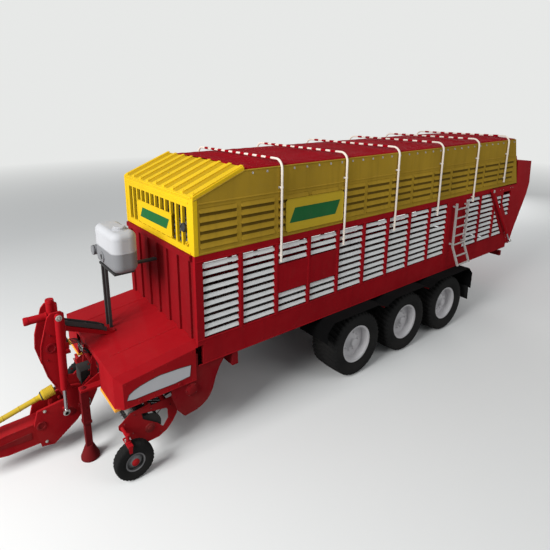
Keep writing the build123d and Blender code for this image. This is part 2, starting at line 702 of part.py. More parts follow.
# Tined reel of the pickup
with BuildPart() as pickup_reel:
    crossbar(REEL_X, REEL_Z, REEL_TUBE, -REEL_HALF, REEL_HALF)
    crossbar(REEL_X, REEL_Z, 22, -PICKUP_IN + SEAT, PICKUP_IN - SEAT)
    for y_mid in (-REEL_HALF + 6, -REEL_HALF / 3, REEL_HALF / 3, REEL_HALF - 6):
        crossbar(REEL_X, REEL_Z, REEL_BAR_R + 22, y_mid - 5, y_mid + 5)
    tine_count = int(2 * (REEL_HALF - 40) / TINE_PITCH)
    tine_feet = [(index - (tine_count - 1) / 2) * TINE_PITCH - TINE_THICK / 2 for index in range(tine_count)]
    bar_angles = [radians(bar * 360 / REEL_BARS + 20) for bar in range(REEL_BARS)]
    for angle in bar_angles:
        crossbar(REEL_X + REEL_BAR_R * cos(angle), REEL_Z + REEL_BAR_R * sin(angle), 14,
                 -REEL_HALF, REEL_HALF)
    with BuildSketch(*[upright(y_low) for y_low in tine_feet]) as tines:
        for angle in bar_angles:
            bar_x = REEL_X + REEL_BAR_R * cos(angle)
            bar_z = REEL_Z + REEL_BAR_R * sin(angle)
            tip_x = REEL_X + REEL_R * cos(angle - radians(9))
            tip_z = REEL_Z + REEL_R * sin(angle - radians(9))
            side_x, side_z = -7 * sin(angle), 7 * cos(angle)
            with BuildLine():
                Polyline((bar_x - side_x, bar_z - side_z), (bar_x + side_x, bar_z + side_z), (tip_x, tip_z),
                         close=True)
            make_face()
    extrude(amount=-TINE_THICK)
save(pickup_reel, "pickup_reel")

# Stripper bands of the pickup: bent strips between the tines, from the back tube over the reel
BAND_START = -62
BAND_END = 118
with BuildPart() as stripper_bands:
    band_feet = [y_low + (TINE_THICK + TINE_PITCH - BAND_WIDTH) / 2 for y_low in tine_feet[:-1]]
    with BuildSketch(*[upright(y_low) for y_low in band_feet]) as bands:
        with BuildLine():
            turns = [radians(BAND_START + share * (BAND_END - BAND_START)) for share in (0, 0.5, 1)]
            inner = [(REEL_X + BAND_R * cos(turn), REEL_Z + BAND_R * sin(turn)) for turn in turns]
            outer_r = BAND_R + BAND_THICK
            outer = [(REEL_X + outer_r * cos(turn), REEL_Z + outer_r * sin(turn)) for turn in turns]
            tail = (BACK_TUBE[0] + BACK_TUBE_R + SEAT, BACK_TUBE[1])
            ThreePointArc(*inner)
            Line(inner[2], (tail[0], tail[1]))
            Line((tail[0], tail[1]), (tail[0], tail[1] + 2 * BAND_THICK))
            Line((tail[0], tail[1] + 2 * BAND_THICK), outer[2])
            ThreePointArc(*reversed(outer))
            Line(outer[0], inner[0])
        make_face()
    extrude(bands.sketch, amount=-BAND_WIDTH)
save(stripper_bands, "stripper_bands")

# Crop roller over the reel
with BuildPart() as crop_roller:
    crossbar(ROLLER_X, ROLLER_Z, ROLLER_R, -PICKUP_IN + 40, PICKUP_IN - 40)
    crossbar(ROLLER_X, ROLLER_Z, 14, -PICKUP_IN + 8 + SEAT, PICKUP_IN - 8 - SEAT)
save(crop_roller, "crop_roller")


def tyre_ring(x, z, y_mid, radius, width, bead_r, belly):
    """Add a tyre whose axle runs across the wagon."""
    half = width / 2
    shoulder = radius - 0.16 * (radius - bead_r)
    points = [
        (bead_r, -half + belly),
        (bead_r + 0.42 * (radius - bead_r), -half),
        (shoulder, -half + belly * 0.4),
        (radius, -half + belly * 1.6),
        (radius, half - belly * 1.6),
        (shoulder, half - belly * 0.4),
        (bead_r + 0.42 * (radius - bead_r), half),
        (bead_r, half - belly),
    ]
    centre = Plane(origin=(WALL_X + x, y_mid, z), x_dir=(0, 0, 1), z_dir=(1, 0, 0))
    with BuildSketch(centre) as section:
        with BuildLine():
            Polyline(*[(r, -across) for r, across in points], close=True)
        make_face()
    revolve(section.sketch, axis=Axis(centre.origin, (0, 1, 0)))


def disc_wheel(x, z, y_mid, radius, width, hub_r, bore_r, side, shell):
    """Add a dished rim: barrel, flanges and a set-back disc round the hub."""
    half = width / 2
    face = side * half
    dish = side * (half - 0.26 * width)
    points = [
        (bore_r, dish - side * 60),
        (hub_r, dish - side * 60),
        (hub_r, dish - side * shell),
        (radius - 3.2 * shell, dish - side * (shell + 40)),
        (radius - 3 * shell, -face + side * 8),
        (radius - 0.3, -face),
        (radius - 0.3, -face + side * 12),
        (radius - 2 * shell, -face + side * 30),
        (radius - 2 * shell, face - side * 30),
        (radius - 0.3, face - side * 12),
        (radius - 0.3, face),
        (radius - 3 * shell, face - side * 6),
        (radius - 3.2 * shell, dish - side * 20),
        (hub_r + 40, dish),
        (hub_r, dish + side * 30),
        (bore_r, dish + side * 30),
    ]
    centre = Plane(origin=(WALL_X + x, y_mid, z), x_dir=(0, 0, 1), z_dir=(1, 0, 0))
    with BuildSketch(centre) as section:
        with BuildLine():
            Polyline(*[(r, -across) for r, across in points], close=True)
        make_face()
    revolve(section.sketch, axis=Axis(centre.origin, (0, 1, 0)))


WHEEL_Y = TYRE_FACE - TYRE_WIDTH / 2
AXLES = [AXLE_X - index * AXLE_PITCH for index in range(3)]
SIDES = (("left", 1), ("right", -1))
STEERED = (0, 2)

# Tyres and rims of the road wheels
RIM_WIDTH = TYRE_WIDTH - 90
HUB_R = 105
for index, axle_x in enumerate(AXLES):
    for side_name, side in SIDES:
        with BuildPart() as tyre:
            tyre_ring(axle_x, TYRE_R, side * WHEEL_Y, TYRE_R, TYRE_WIDTH, RIM_R, 40)
        save(tyre, f"tyre_{index + 1}_{side_name}")
        with BuildPart() as rim:
            disc_wheel(axle_x, TYRE_R, side * WHEEL_Y, RIM_R, RIM_WIDTH, HUB_R, SPINDLE_R + FIT, side,
                       RIM_SHELL)
        save(rim, f"rim_{index + 1}_{side_name}")

# Gauge wheels of the pickup
for side_name, side in SIDES:
    with BuildPart() as gauge_tyre:
        tyre_ring(GAUGE_X, AXLE_Z, side * GAUGE_Y, GAUGE_R, GAUGE_WIDTH, GAUGE_RIM_R, 14)
    save(gauge_tyre, f"gauge_tyre_{side_name}")
    with BuildPart() as gauge_rim:
        disc_wheel(GAUGE_X, AXLE_Z, side * GAUGE_Y, GAUGE_RIM_R, GAUGE_WIDTH - 24, 45, AXLE_R + FIT, side, 6)
    save(gauge_rim, f"gauge_rim_{side_name}")

# Axles: beam, leaf springs and hangers; the middle one ends in spindles, the others in yokes
SPRING_HALF = 600
SPINDLE_END = WHEEL_Y + RIM_WIDTH / 2 - 0.26 * RIM_WIDTH + 30
YOKE_HALF = 110
EAR_THICK = 34
with BuildPart() as axles:
    for index, axle_x in enumerate(AXLES):
        beam_top = TYRE_R + AXLE_BOX / 2
        steered = index in STEERED
        beam_half = KINGPIN_Y - 62 if steered else KINGPIN_Y + 60
        block((axle_x - AXLE_BOX / 2, axle_x + AXLE_BOX / 2), (-beam_half, beam_half),
              (TYRE_R - AXLE_BOX / 2, beam_top))
        for side in (1, -1):
            leaf = [
                (axle_x - SPRING_HALF, beam_top + 175),
                (axle_x - 120, beam_top + 2),
                (axle_x + 120, beam_top + 2),
                (axle_x + SPRING_HALF, beam_top + 175),
                (axle_x + SPRING_HALF, beam_top + 215),
                (axle_x + 120, beam_top + 70),
                (axle_x - 120, beam_top + 70),
                (axle_x - SPRING_HALF, beam_top + 215),
            ]
            y_low, y_high = sorted((side * (RAIL_Y - 38), side * (RAIL_Y + 38)))
            plate(leaf, y_low, y_high)
            block((axle_x - 70, axle_x + 70), (y_low, y_high), (beam_top - 5, beam_top + 90))
            for end in (-SPRING_HALF, SPRING_HALF - 50):
                block((axle_x + end, axle_x + end + 50), (y_low, y_high), (beam_top + 160, RAIL_FOOT))
            if steered:
                for z_low in (TYRE_R - YOKE_HALF, TYRE_R + YOKE_HALF - EAR_THICK):
                    block((axle_x - 62, axle_x + 62),
                          sorted((side * (beam_half - 60), side * (KINGPIN_Y + 46))),
                          (z_low, z_low + EAR_THICK))
                block((axle_x - 62, axle_x + 62), sorted((side * (beam_half - 60), side * beam_half)),
                      (TYRE_R - YOKE_HALF, TYRE_R + YOKE_HALF))
                with BuildSketch(level(TYRE_R - YOKE_HALF - 10)) as pin:
                    with Locations((axle_x, side * KINGPIN_Y)):
                        Circle(KINGPIN_R)
                extrude(pin.sketch, amount=2 * YOKE_HALF + 20)
            else:
                crossbar(axle_x, TYRE_R, SPINDLE_R,
                         *sorted((side * (beam_half - 10), side * (SPINDLE_END + 20))))
save(axles, "axles")

# Steering knuckles of the first and last axle
KNUCKLE_HALF = YOKE_HALF - EAR_THICK - 2
for index in STEERED:
    for side_name, side in SIDES:
        with BuildPart() as knuckle:
            with BuildSketch(level(TYRE_R - KNUCKLE_HALF)) as barrel:
                with Locations((AXLES[index], side * KINGPIN_Y)):
                    Circle(52)
            extrude(barrel.sketch, amount=2 * KNUCKLE_HALF)
            block((AXLES[index] - 50, AXLES[index] + 50),
                  sorted((side * (KINGPIN_Y + 20), side * (KINGPIN_Y + 90))),
                  (TYRE_R - KNUCKLE_HALF + 4, TYRE_R + KNUCKLE_HALF - 4))
            crossbar(AXLES[index], TYRE_R, SPINDLE_R,
                     *sorted((side * (KINGPIN_Y + 60), side * (SPINDLE_END + 20))))
            with BuildSketch(level(TYRE_R - KNUCKLE_HALF - 1)) as bore:
                with Locations((AXLES[index], side * KINGPIN_Y)):
                    Circle(KINGPIN_R + FIT)
            extrude(bore.sketch, amount=2 * KNUCKLE_HALF + 2, mode=Mode.SUBTRACT)
        save(knuckle, f"knuckle_{index + 1}_{side_name}")

# Mudguards: one long shell over the three wheels of each side
GUARD_FRONT = AXLES[0] + 820
GUARD_REAR = AXLES[2] - 860
VALLEY = 95
CREST = 420
with BuildPart() as mudguards:
    crest = [(GUARD_FRONT, 900), (GUARD_FRONT, 1090), (GUARD_FRONT - 150, GUARD_TOP)]
    for index, axle_x in enumerate(AXLES[:-1]):
        middle = axle_x - AXLE_PITCH / 2
        crest += [(middle + 240, GUARD_TOP), (middle, GUARD_TOP - VALLEY), (middle - 240, GUARD_TOP)]
    crest += [(GUARD_REAR + 150, GUARD_TOP), (GUARD_REAR, 1090), (GUARD_REAR, 740)]
    with BuildSketch(upright(GUARD_IN)) as section:
        with BuildLine() as ridge:
            Polyline(*crest)
            offset(amount=GUARD_THICK, side=Side.LEFT, closed=True)
        make_face()
    extrude(section.sketch, amount=GUARD_IN - GUARD_OUT)
    mirror(about=Plane.XZ)
save(mudguards, "mudguards")

# Headstock: cross beam, side arms, the two tower plates of the drawbar pivot, the brace to the hood
# and the hose rack on top
BEAM_HALF = HALF - HOOD_BEVEL + 15
HEAD_OUTLINE = [
    (BEAM_X[1] - 10, BEAM_Z[0] - 180),
    (BEAM_X[1] - 10, BEAM_Z[1] + 10),
    (HOOD_FRONT, BEAM_Z[1] + 10),
    (HOOD_FRONT + 35, 1060),
    (1330, 930),
    (1440, 960),
    (1490, 1100),
    (1480, 1500),
    (RAM_TOP_X - 86, RAM_TOP_Z - 170),
    (RAM_TOP_X - 86, RAM_TOP_Z + 10),
    (RAM_TOP_X - 46, RAM_TOP_Z + 45),
    (RAM_TOP_X + 74, RAM_TOP_Z + 45),
    (RAM_TOP_X + 124, RAM_TOP_Z - 10),
    (1700, 1900),
    (1760, 1700),
    (1780, 1500),
    (1725, 1250),
    (1640, 1060),
    (1560, 880),
    (PIVOT_X + 170, PIVOT_Z - 10),
    (PIVOT_X + 110, PIVOT_Z - 90),
    (PIVOT_X + 30, PIVOT_Z - 110),
    (PIVOT_X - 70, PIVOT_Z - 90),
    (PIVOT_X - 180, PIVOT_Z + 110),
]
RAM_PIN_R = 24
BRACE_HALF = 45
BRACE_FOOT = (740, 860)
HOOD_SLOPE = (HOOD_FRONT_TOP - HOOD_REAR_TOP) / HOOD_FRONT
RACK_X = RAM_TOP_X + 34
RACK_Z = RAM_TOP_Z - 65
RACK_R = 52


def hood_top(x):
    """Height of the hood's top at this distance from the front wall, with a seat's play."""
    return HOOD_REAR_TOP + HOOD_SLOPE * x + SEAT


with BuildPart() as headstock:
    block(BEAM_X, (-BEAM_HALF, BEAM_HALF), BEAM_Z)
    for side in (1, -1):
        block((150, BEAM_X[0] + 20), sorted((side * (BEAM_HALF - 45), side * (HOUSING_OUT - HOUSING_THICK))),
              (BEAM_Z[0] + 20, BEAM_Z[1] - 20))
        plate(HEAD_OUTLINE, *sorted((side * HEAD_Y, side * (HEAD_Y + HEAD_THICK))))
        crossbar(RAM_TOP_X, RAM_TOP_Z, RAM_PIN_R, *sorted((side * HEAD_Y, side * (RAM_Y + 45))))
    crossbar(RACK_X, RACK_Z - 155, 45, -HEAD_Y, HEAD_Y)
    crossbar(BEAM_X[1] + 40, BEAM_Z[1] - 90, 35, -HEAD_Y, HEAD_Y)
    crossbar(PIVOT_X, PIVOT_Z, PIVOT_R, -HEAD_Y - HEAD_THICK - 20, HEAD_Y + HEAD_THICK + 20)
    brace = [(RACK_X, RACK_Z - 115), (RACK_X, RACK_Z - 195), (BRACE_FOOT[1], hood_top(BRACE_FOOT[1])),
             (BRACE_FOOT[0], hood_top(BRACE_FOOT[0])), (BRACE_FOOT[0], hood_top(BRACE_FOOT[0]) + 25),
             (BRACE_FOOT[1] - 10, hood_top(BRACE_FOOT[1]) + 55)]
    plate(brace, -BRACE_HALF, BRACE_HALF)
    bracket_y = (JACK_Y - JACK_HOLD, JACK_Y + JACK_HOLD)
    block((BEAM_X[1] - 5, JACK_X + JACK_TUBE / 2), bracket_y, (JACK_TOP, JACK_TOP + 30))
    block((BEAM_X[1] - 5, BEAM_X[1] + 20), bracket_y, (JACK_TOP, BEAM_Z[0] + 30))
    gusset = [(BEAM_X[1] + 10, BEAM_Z[0] + 10), (BEAM_X[1] + 10, JACK_TOP + 20), (JACK_X, JACK_TOP + 20)]
    plate(gusset, bracket_y[0], bracket_y[0] + 12)
    block((RACK_X - 60, RACK_X + 60), (-HEAD_Y, HEAD_Y), (RACK_Z - RACK_R, RACK_Z - RACK_R + 30))
    rod((RACK_X, 0, RACK_Z - RACK_R), (RACK_X, 0, RACK_Z + 230), RACK_R)
    rod((RACK_X - 20, 0, RACK_Z), (RACK_X + 335, 0, RACK_Z), RACK_R)
save(headstock, "headstock")

# Drawbar: cheeks, cross pin for the cylinders and the long beam
DRAW_OUTLINE = [
    (PIVOT_X - 85, PIVOT_Z + 10),
    (PIVOT_X - 40, PIVOT_Z + 85),
    (PIVOT_X + 80, PIVOT_Z + 110),
    (1620, 800),
    (1900, 760),
    (1960, 560),
    (1900, 225),
    (1740, 190),
    (1420, 420),
    (PIVOT_X - 60, PIVOT_Z - 80),
]
BEAM_OUTLINE = [(1700, 600), (2300, 560), (2620, 500), (2620, 340), (2300, 270), (1700, 250)]
with BuildPart() as drawbar:
    for side in (1, -1):
        plate(DRAW_OUTLINE, *sorted((side * DRAW_Y, side * (DRAW_Y + DRAW_THICK))))
    plate(BEAM_OUTLINE, -DRAW_Y, DRAW_Y)
    crossbar(1480, 600, 60, -DRAW_Y - 5, DRAW_Y + 5)
    crossbar(RAM_EYE_X, RAM_EYE_Z, RAM_PIN_R, -RAM_Y - 45, RAM_Y + 45)
    crossbar(PIVOT_X, PIVOT_Z, PIVOT_R + FIT, -HEAD_Y, HEAD_Y, Mode.SUBTRACT)
    block((1690, 1730), (-60, 60), (560, 823))
save(drawbar, "drawbar")

# Ball cup at the end of the drawbar
BALL_R = 40
with BuildPart() as hitch_cup:
    block((2620, 2700), (-100, 100), (350, 490))
    with BuildSketch(level(HITCH_Z - 60)) as cup:
        with Locations((HITCH_X, 0)):
            Circle(75)
    extrude(cup.sketch, amount=115)
    block((2690, HITCH_X), (-60, 60), (370, 470))
    with Locations((WALL_X + HITCH_X, 0, HITCH_Z - 12)):
        Sphere(BALL_R + 0.5, mode=Mode.SUBTRACT)
    with BuildSketch(level(HITCH_Z - 61)) as mouth:
        with Locations((HITCH_X, 0)):
            Circle(BALL_R + 0.5)
    extrude(mouth.sketch, amount=49, mode=Mode.SUBTRACT)
save(hitch_cup, "hitch_cup")

# Lift cylinders of the drawbar: barrels hung from the headstock, rods pinned to the drawbar
ram_length = hypot(RAM_TOP_X - RAM_EYE_X, RAM_TOP_Z - RAM_EYE_Z)
ram_dir = ((RAM_EYE_X - RAM_TOP_X) / ram_length, (RAM_EYE_Z - RAM_TOP_Z) / ram_length)


def along_ram(distance, y):
    """A point on a drawbar cylinder's axis, this far from its upper pin."""
    return (RAM_TOP_X + ram_dir[0] * distance, y, RAM_TOP_Z + ram_dir[1] * distance)


RAM_BARREL = 1035
with BuildPart() as ram_barrels:
    for side in (1, -1):
        y_mid = side * RAM_Y
        rod(along_ram(20, y_mid), along_ram(RAM_BARREL, y_mid), RAM_R)
        crossbar(RAM_TOP_X, RAM_TOP_Z, 42, y_mid - 30, y_mid + 30)
        crossbar(RAM_TOP_X, RAM_TOP_Z, RAM_PIN_R + FIT, y_mid - 60, y_mid + 60, Mode.SUBTRACT)
        rod(along_ram(120, y_mid), along_ram(RAM_BARREL + 1, y_mid), RAM_ROD_R + FIT, Mode.SUBTRACT)
save(ram_barrels, "ram_barrels")

RAM_EYE_PLAY = 8
with BuildPart() as ram_rods:
    for side in (1, -1):
        y_mid = side * RAM_Y
        rod(along_ram(260, y_mid), along_ram(ram_length - 20, y_mid), RAM_ROD_R)
        crossbar(RAM_EYE_X, RAM_EYE_Z, 46, y_mid - 28, y_mid + 28)
        crossbar(RAM_EYE_X, RAM_EYE_Z, RAM_PIN_R + RAM_EYE_PLAY, y_mid - 31, y_mid + 31, Mode.SUBTRACT)
save(ram_rods, "ram_rods")

# Gearbox behind the drive shaft
with BuildPart() as gearbox:
    block((1110, 1300), (-120, 120), (915, 1110))
    block((BEAM_X[1] - 60, 1112), (-100, 100), (1000, BEAM_Z[0]))
save(gearbox, "gearbox")

# Drive shaft on the drawbar, with its guard
SHAFT_REAR = (1620, 0, 925)
SHAFT_FRONT = (2700, 0, 640)
with BuildPart() as drive_shaft:
    rod(SHAFT_REAR, SHAFT_FRONT, 22)
    yoke_foot = (2640, 0, 640 + 60 * (925 - 640) / (2700 - 1620))
    rod(yoke_foot, SHAFT_FRONT, 38)
save(drive_shaft, "drive_shaft")

SHAFT_SLOPE = (SHAFT_FRONT[2] - SHAFT_REAR[2]) / (SHAFT_FRONT[0] - SHAFT_REAR[0])


def on_shaft(x):
    """The point of the drive shaft's axis at this distance from the front wall."""
    return (x, 0, SHAFT_REAR[2] + SHAFT_SLOPE * (x - SHAFT_REAR[0]))


with BuildPart() as shaft_guard:
    rod(on_shaft(1660), on_shaft(2600), 36)
    rod(on_shaft(1640), on_shaft(1790), 70)
    rod(on_shaft(1600), on_shaft(2640), 22.5, Mode.SUBTRACT)
save(shaft_guard, "shaft_guard")

# Parking jack: outer tube on the headstock, inner leg with its flared foot
JACK_MOUTH = 548
JACK_INNER = JACK_TUBE / 2 - JACK_WALL
with BuildPart() as jack_tube:
    half = JACK_TUBE / 2
    block((JACK_X - half, JACK_X + half), (JACK_Y - half, JACK_Y + half), (JACK_MOUTH, JACK_TOP))
    inside = JACK_INNER
    block((JACK_X - inside, JACK_X + inside), (JACK_Y - inside, JACK_Y + inside),
          (JACK_MOUTH - 1, JACK_TOP - 20), Mode.SUBTRACT)
save(jack_tube, "jack_tube")

with BuildPart() as jack_leg:
    half = JACK_INNER - SEAT
    block((JACK_X - half, JACK_X + half), (JACK_Y - half, JACK_Y + half), (JACK_FOOT_Z - 2, JACK_LEG_TOP))
    with BuildSketch(level(0), level(JACK_FOOT_Z)) as foot:
        with Locations((JACK_X, JACK_Y)):
            Circle(JACK_FOOT_R)
    extrude(foot.sketch.faces().sort_by(Axis.Z)[0], amount=JACK_FOOT_Z)
    with BuildSketch(level(JACK_FOOT_Z + JACK_FLARE)) as neck:
        with Locations((JACK_X, JACK_Y)):
            Circle(half + 14)
    loft([foot.sketch.faces().sort_by(Axis.Z)[-1], neck.sketch.faces()[0]])
save(jack_leg, "jack_leg")

# Additive tank with its pump on the front corner
TANK_X = (430, 790)
TANK_Y = (-430, 400)
TANK_Z = (2490, 3060)
TANK_CORNER = 130
TANK_EDGE = 85
PUMP_R = 72
PUMP_LONG = 75
PUMP_Y = TANK_Y[0] - 25
PUMP_Z = TANK_Z[0] + 150
PORT_R = 42
PORT_RING = 78
PORT_Y = -80
with BuildPart() as tank:
    block(TANK_X, TANK_Y, TANK_Z)
    fillet(tank.edges().filter_by(Axis.Z), TANK_CORNER)
    fillet(tank.edges().group_by(Axis.Z)[-1] + tank.edges().group_by(Axis.Z)[0], TANK_EDGE)
    with BuildSketch(crosswise(TANK_X[1] - PUMP_LONG)) as pump:
        with Locations((PUMP_Y, PUMP_Z)):
            Circle(PUMP_R)
    extrude(pump.sketch, amount=PUMP_LONG + 30)
    with BuildSketch(crosswise(TANK_X[1] - 2)) as ring:
        with Locations((PORT_Y, PUMP_Z)):
            Circle(PORT_RING)
    extrude(ring.sketch, amount=20)
    with BuildSketch(crosswise(TANK_X[1] + 19)) as port:
        with Locations((PORT_Y, PUMP_Z)):
            Circle(PORT_R)
    extrude(port.sketch, amount=-30, mode=Mode.SUBTRACT)
save(tank, "tank")

# Frame of the tank: tray, two posts on the hood and an arm to the front wall
POST_X = 750
POST_Y = (-250, -110)
POST_HALF = 20
TRAY_THICK = 30
with BuildPart() as tank_frame:
    tray_z = (TANK_Z[0] - TRAY_THICK, TANK_Z[0])
    block((TANK_X[0] + 60, TANK_X[1] - 20), (TANK_Y[0] + 90, TANK_Y[1] - 90), tray_z)
    for y_mid in POST_Y:
        post_x = (POST_X - POST_HALF, POST_X + POST_HALF)
        post = [(post_x[0], hood_top(post_x[0])), (post_x[1], hood_top(post_x[1])),
                (post_x[1], tray_z[0] + 2), (post_x[0], tray_z[0] + 2)]
        plate(post, y_mid - POST_HALF, y_mid + POST_HALF)
    block((RIB_DEPTH + SEAT, TANK_X[0] + 80), (-40, 40), (tray_z[0], tray_z[1] - 2))
save(tank_frame, "tank_frame")

# Ladder on the left side
LADDER_X = (-6500, -6060)
LADDER_TOP = WALL_TOP - 134
LADDER_BEND = SLAT_BOTTOM + 148
with BuildPart() as ladder:
    for x_mid in LADDER_X:
        block((x_mid - 18, x_mid + 18), (HALF + 60, HALF + 96), (LADDER_BEND, LADDER_TOP))
        for z_low in (LADDER_BEND + 40, LADDER_TOP - 80):
            block((x_mid - 14, x_mid + 14), (HALF, HALF + 62), (z_low, z_low + 30))
        with BuildSketch(crosswise(x_mid - 18)) as section:
            with BuildLine():
                Polyline((HALF + 60, LADDER_BEND + 2), (HALF + 96, LADDER_BEND + 2), (HALF + 246, 1380),
                         (HALF + 210, 1380), close=True)
            make_face()
        extrude(section.sketch, amount=36)
    for index in range(5):
        z_mid = LADDER_TOP - 120 - index * 190
        crossx = (LADDER_X[0] - 10, LADDER_X[1] + 10)
        block(crossx, (HALF + 66, HALF + 90), (z_mid - 12, z_mid + 12))
    block((LADDER_X[0], LADDER_X[1]), (HALF + 150, HALF + 174), (1560, 1584))
    block((LADDER_X[0], LADDER_X[1]), (HALF + 216, HALF + 240), (1390, 1414))
save(ladder, "ladder")

# Tailgate: cheeks along the seam and the sheet that closes the rear
CHEEK_OUTLINE = [
    (SEAM_TOP_X - SEAM_GAP, CHEEK_TOP),
    (SIDE_FOOT - 16, CHEEK_TOP),
] + TAIL_OUTLINE + [(SEAM_FOOT_X - SEAM_GAP, SEAM_FOOT_Z)]
CHEEK_SLOTS = [
    [(-8140, 2600), (-8140, 2200), (-7880, 2600)],
    [(-8190, 2660), (-8560, 2660), (-8560, 2060), (-8440, 2060), (-8190, 2400)],
]
CHEEK_ROWS = [SLAT_BOTTOM + ROW_PITCH * (row + 0.5) for row in range(SLAT_ROWS)]


def slot_span(slot, height):
    """Back and front end of a slot's opening at this height, or None where there is none."""
    ends = []
    for start, end in zip(slot, slot[1:] + slot[:1]):
        low, high = sorted((start[1], end[1]))
        if low < height < high:
            ends.append(start[0] + (end[0] - start[0]) * (height - start[1]) / (end[1] - start[1]))
    return sorted(ends) if len(ends) == 2 else None


with BuildPart() as tailgate:
    plate(CHEEK_OUTLINE, HALF - CHEEK_THICK, HALF)
    for slot in CHEEK_SLOTS:
        plate(slot, HALF - CHEEK_THICK - 1, HALF + 1, Mode.SUBTRACT)
    mirror(about=Plane.XZ)
    with BuildSketch(upright(-HALF)) as section:
        with BuildLine():
            Polyline(*TAIL_OUTLINE)
            offset(amount=TAIL_SHEET, side=Side.LEFT, closed=True)
        make_face()
    extrude(section.sketch, amount=-2 * HALF)
    pocket_pitch = (2 * HALF - POCKET_RIB) / POCKET_COUNT
    pocket_feet = [POCKET_RIB - HALF + index * pocket_pitch for index in range(POCKET_COUNT)]
    with BuildSketch(*[upright(y_low) for y_low in pocket_feet]) as pocket:
        with BuildLine():
            Polyline(*TAIL_OUTLINE[2:6])
            offset(amount=POCKET_DEPTH, side=Side.LEFT, closed=True)
        make_face()
    extrude(pocket.sketch, amount=POCKET_RIB - pocket_pitch, mode=Mode.SUBTRACT)
    for side in (1, -1):
        crossbar(TAIL_EYE_X, TAIL_EYE_Z, 52, *sorted((side * (HALF - 2), side * (HALF + TAIL_BOSS))))
        low, high = sorted((side * TAIL_LUG_IN, side * (HALF - CHEEK_THICK)))
        lug = [(TAIL_HINGE_X + 40, TAIL_HINGE_Z + 40), (TAIL_HINGE_X - 60, TAIL_HINGE_Z + 40),
               (-8800, TAIL_HINGE_Z - 120), (-8720, TAIL_HINGE_Z - 220),
               (TAIL_HINGE_X + 40, TAIL_HINGE_Z - 50)]
        plate(lug, low, high)
    crossbar(TAIL_HINGE_X, TAIL_HINGE_Z, HINGE_PIN_R + FIT, -HALF, HALF, Mode.SUBTRACT)
save(tailgate, "tailgate")

# Louvre slats in the cheeks' slots, each as long as its slot is wide there
with BuildPart() as cheek_slats:
    for slot in CHEEK_SLOTS:
        for middle in CHEEK_ROWS:
            spans = [slot_span(slot, middle + side * SLAT_HEIGHT / 2) for side in (1, -1)]
            if None in spans:
                continue
            x_back = max(span[0] for span in spans) + SEAT
            x_front = min(span[1] for span in spans) - SEAT
            if x_front - x_back < SLAT_HEIGHT:
                continue
            with BuildSketch(crosswise(x_back)) as section:
                with BuildLine():
                    Polyline(*slat_points(middle), close=True)
                make_face()
            extrude(section.sketch, amount=x_front - x_back)
    mirror(about=Plane.XZ)
save(cheek_slats, "cheek_slats")

# Cylinders of the tailgate: barrels on the side walls' top rail, rods to the cheeks
tail_length = hypot(TAIL_RAM_X - TAIL_EYE_X, TAIL_RAM_Z - TAIL_EYE_Z)
tail_dir = ((TAIL_EYE_X - TAIL_RAM_X) / tail_length, (TAIL_EYE_Z - TAIL_RAM_Z) / tail_length)
TAIL_BARREL = 1500


def along_tail(distance, y):
    """A point on a tailgate cylinder's axis, this far from its pin on the side wall."""
    return (TAIL_RAM_X + tail_dir[0] * distance, y, TAIL_RAM_Z + tail_dir[1] * distance)


with BuildPart() as tail_barrels:
    rod(along_tail(20, TAIL_RAM_Y), along_tail(TAIL_BARREL, TAIL_RAM_Y), TAIL_RAM_R)
    crossbar(TAIL_RAM_X, TAIL_RAM_Z, 38, TAIL_RAM_Y - 26, TAIL_RAM_Y + 26)
    crossbar(TAIL_RAM_X, TAIL_RAM_Z, 20 + FIT, TAIL_RAM_Y - 40, TAIL_RAM_Y + 40, Mode.SUBTRACT)
    rod(along_tail(100, TAIL_RAM_Y), along_tail(TAIL_BARREL + 1, TAIL_RAM_Y), TAIL_ROD_R + FIT,
        Mode.SUBTRACT)
    mirror(about=Plane.XZ)
save(tail_barrels, "tail_barrels")

with BuildPart() as tail_rods:
    rod(along_tail(150, TAIL_RAM_Y), along_tail(tail_length - 10, TAIL_RAM_Y), TAIL_ROD_R)
    crossbar(TAIL_EYE_X, TAIL_EYE_Z, 40, TAIL_RAM_Y - 26, TAIL_RAM_Y + 26)
    crossbar(TAIL_EYE_X, TAIL_EYE_Z, 20, HALF + TAIL_BOSS + SEAT, TAIL_RAM_Y + 38)
    mirror(about=Plane.XZ)
save(tail_rods, "tail_rods")

# Rear lamps on the rear beam
with BuildPart() as rear_lamps:
    for y_mid in (760, 960):
        block((RAIL_REAR - BUMPER - 45, RAIL_REAR - BUMPER), (y_mid - 85, y_mid + 85), (1022, 1098))
    mirror(about=Plane.XZ)
save(rear_lamps, "rear_lamps")
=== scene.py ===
"""Looks of a three-axle loader wagon, dressed around its fixed frame.

Lengths are in metres. The frame has +X towards the tractor, +Y to the wagon's left and +Z up. Places are
given forward of the front wall of the load space, left of the middle and above the ground.
"""

import logging
from collections.abc import Callable, Iterable, Sequence
from dataclasses import dataclass
from enum import Enum
from math import cos, pi, radians, sin

import bmesh
import bpy
from mathutils import Matrix, Vector


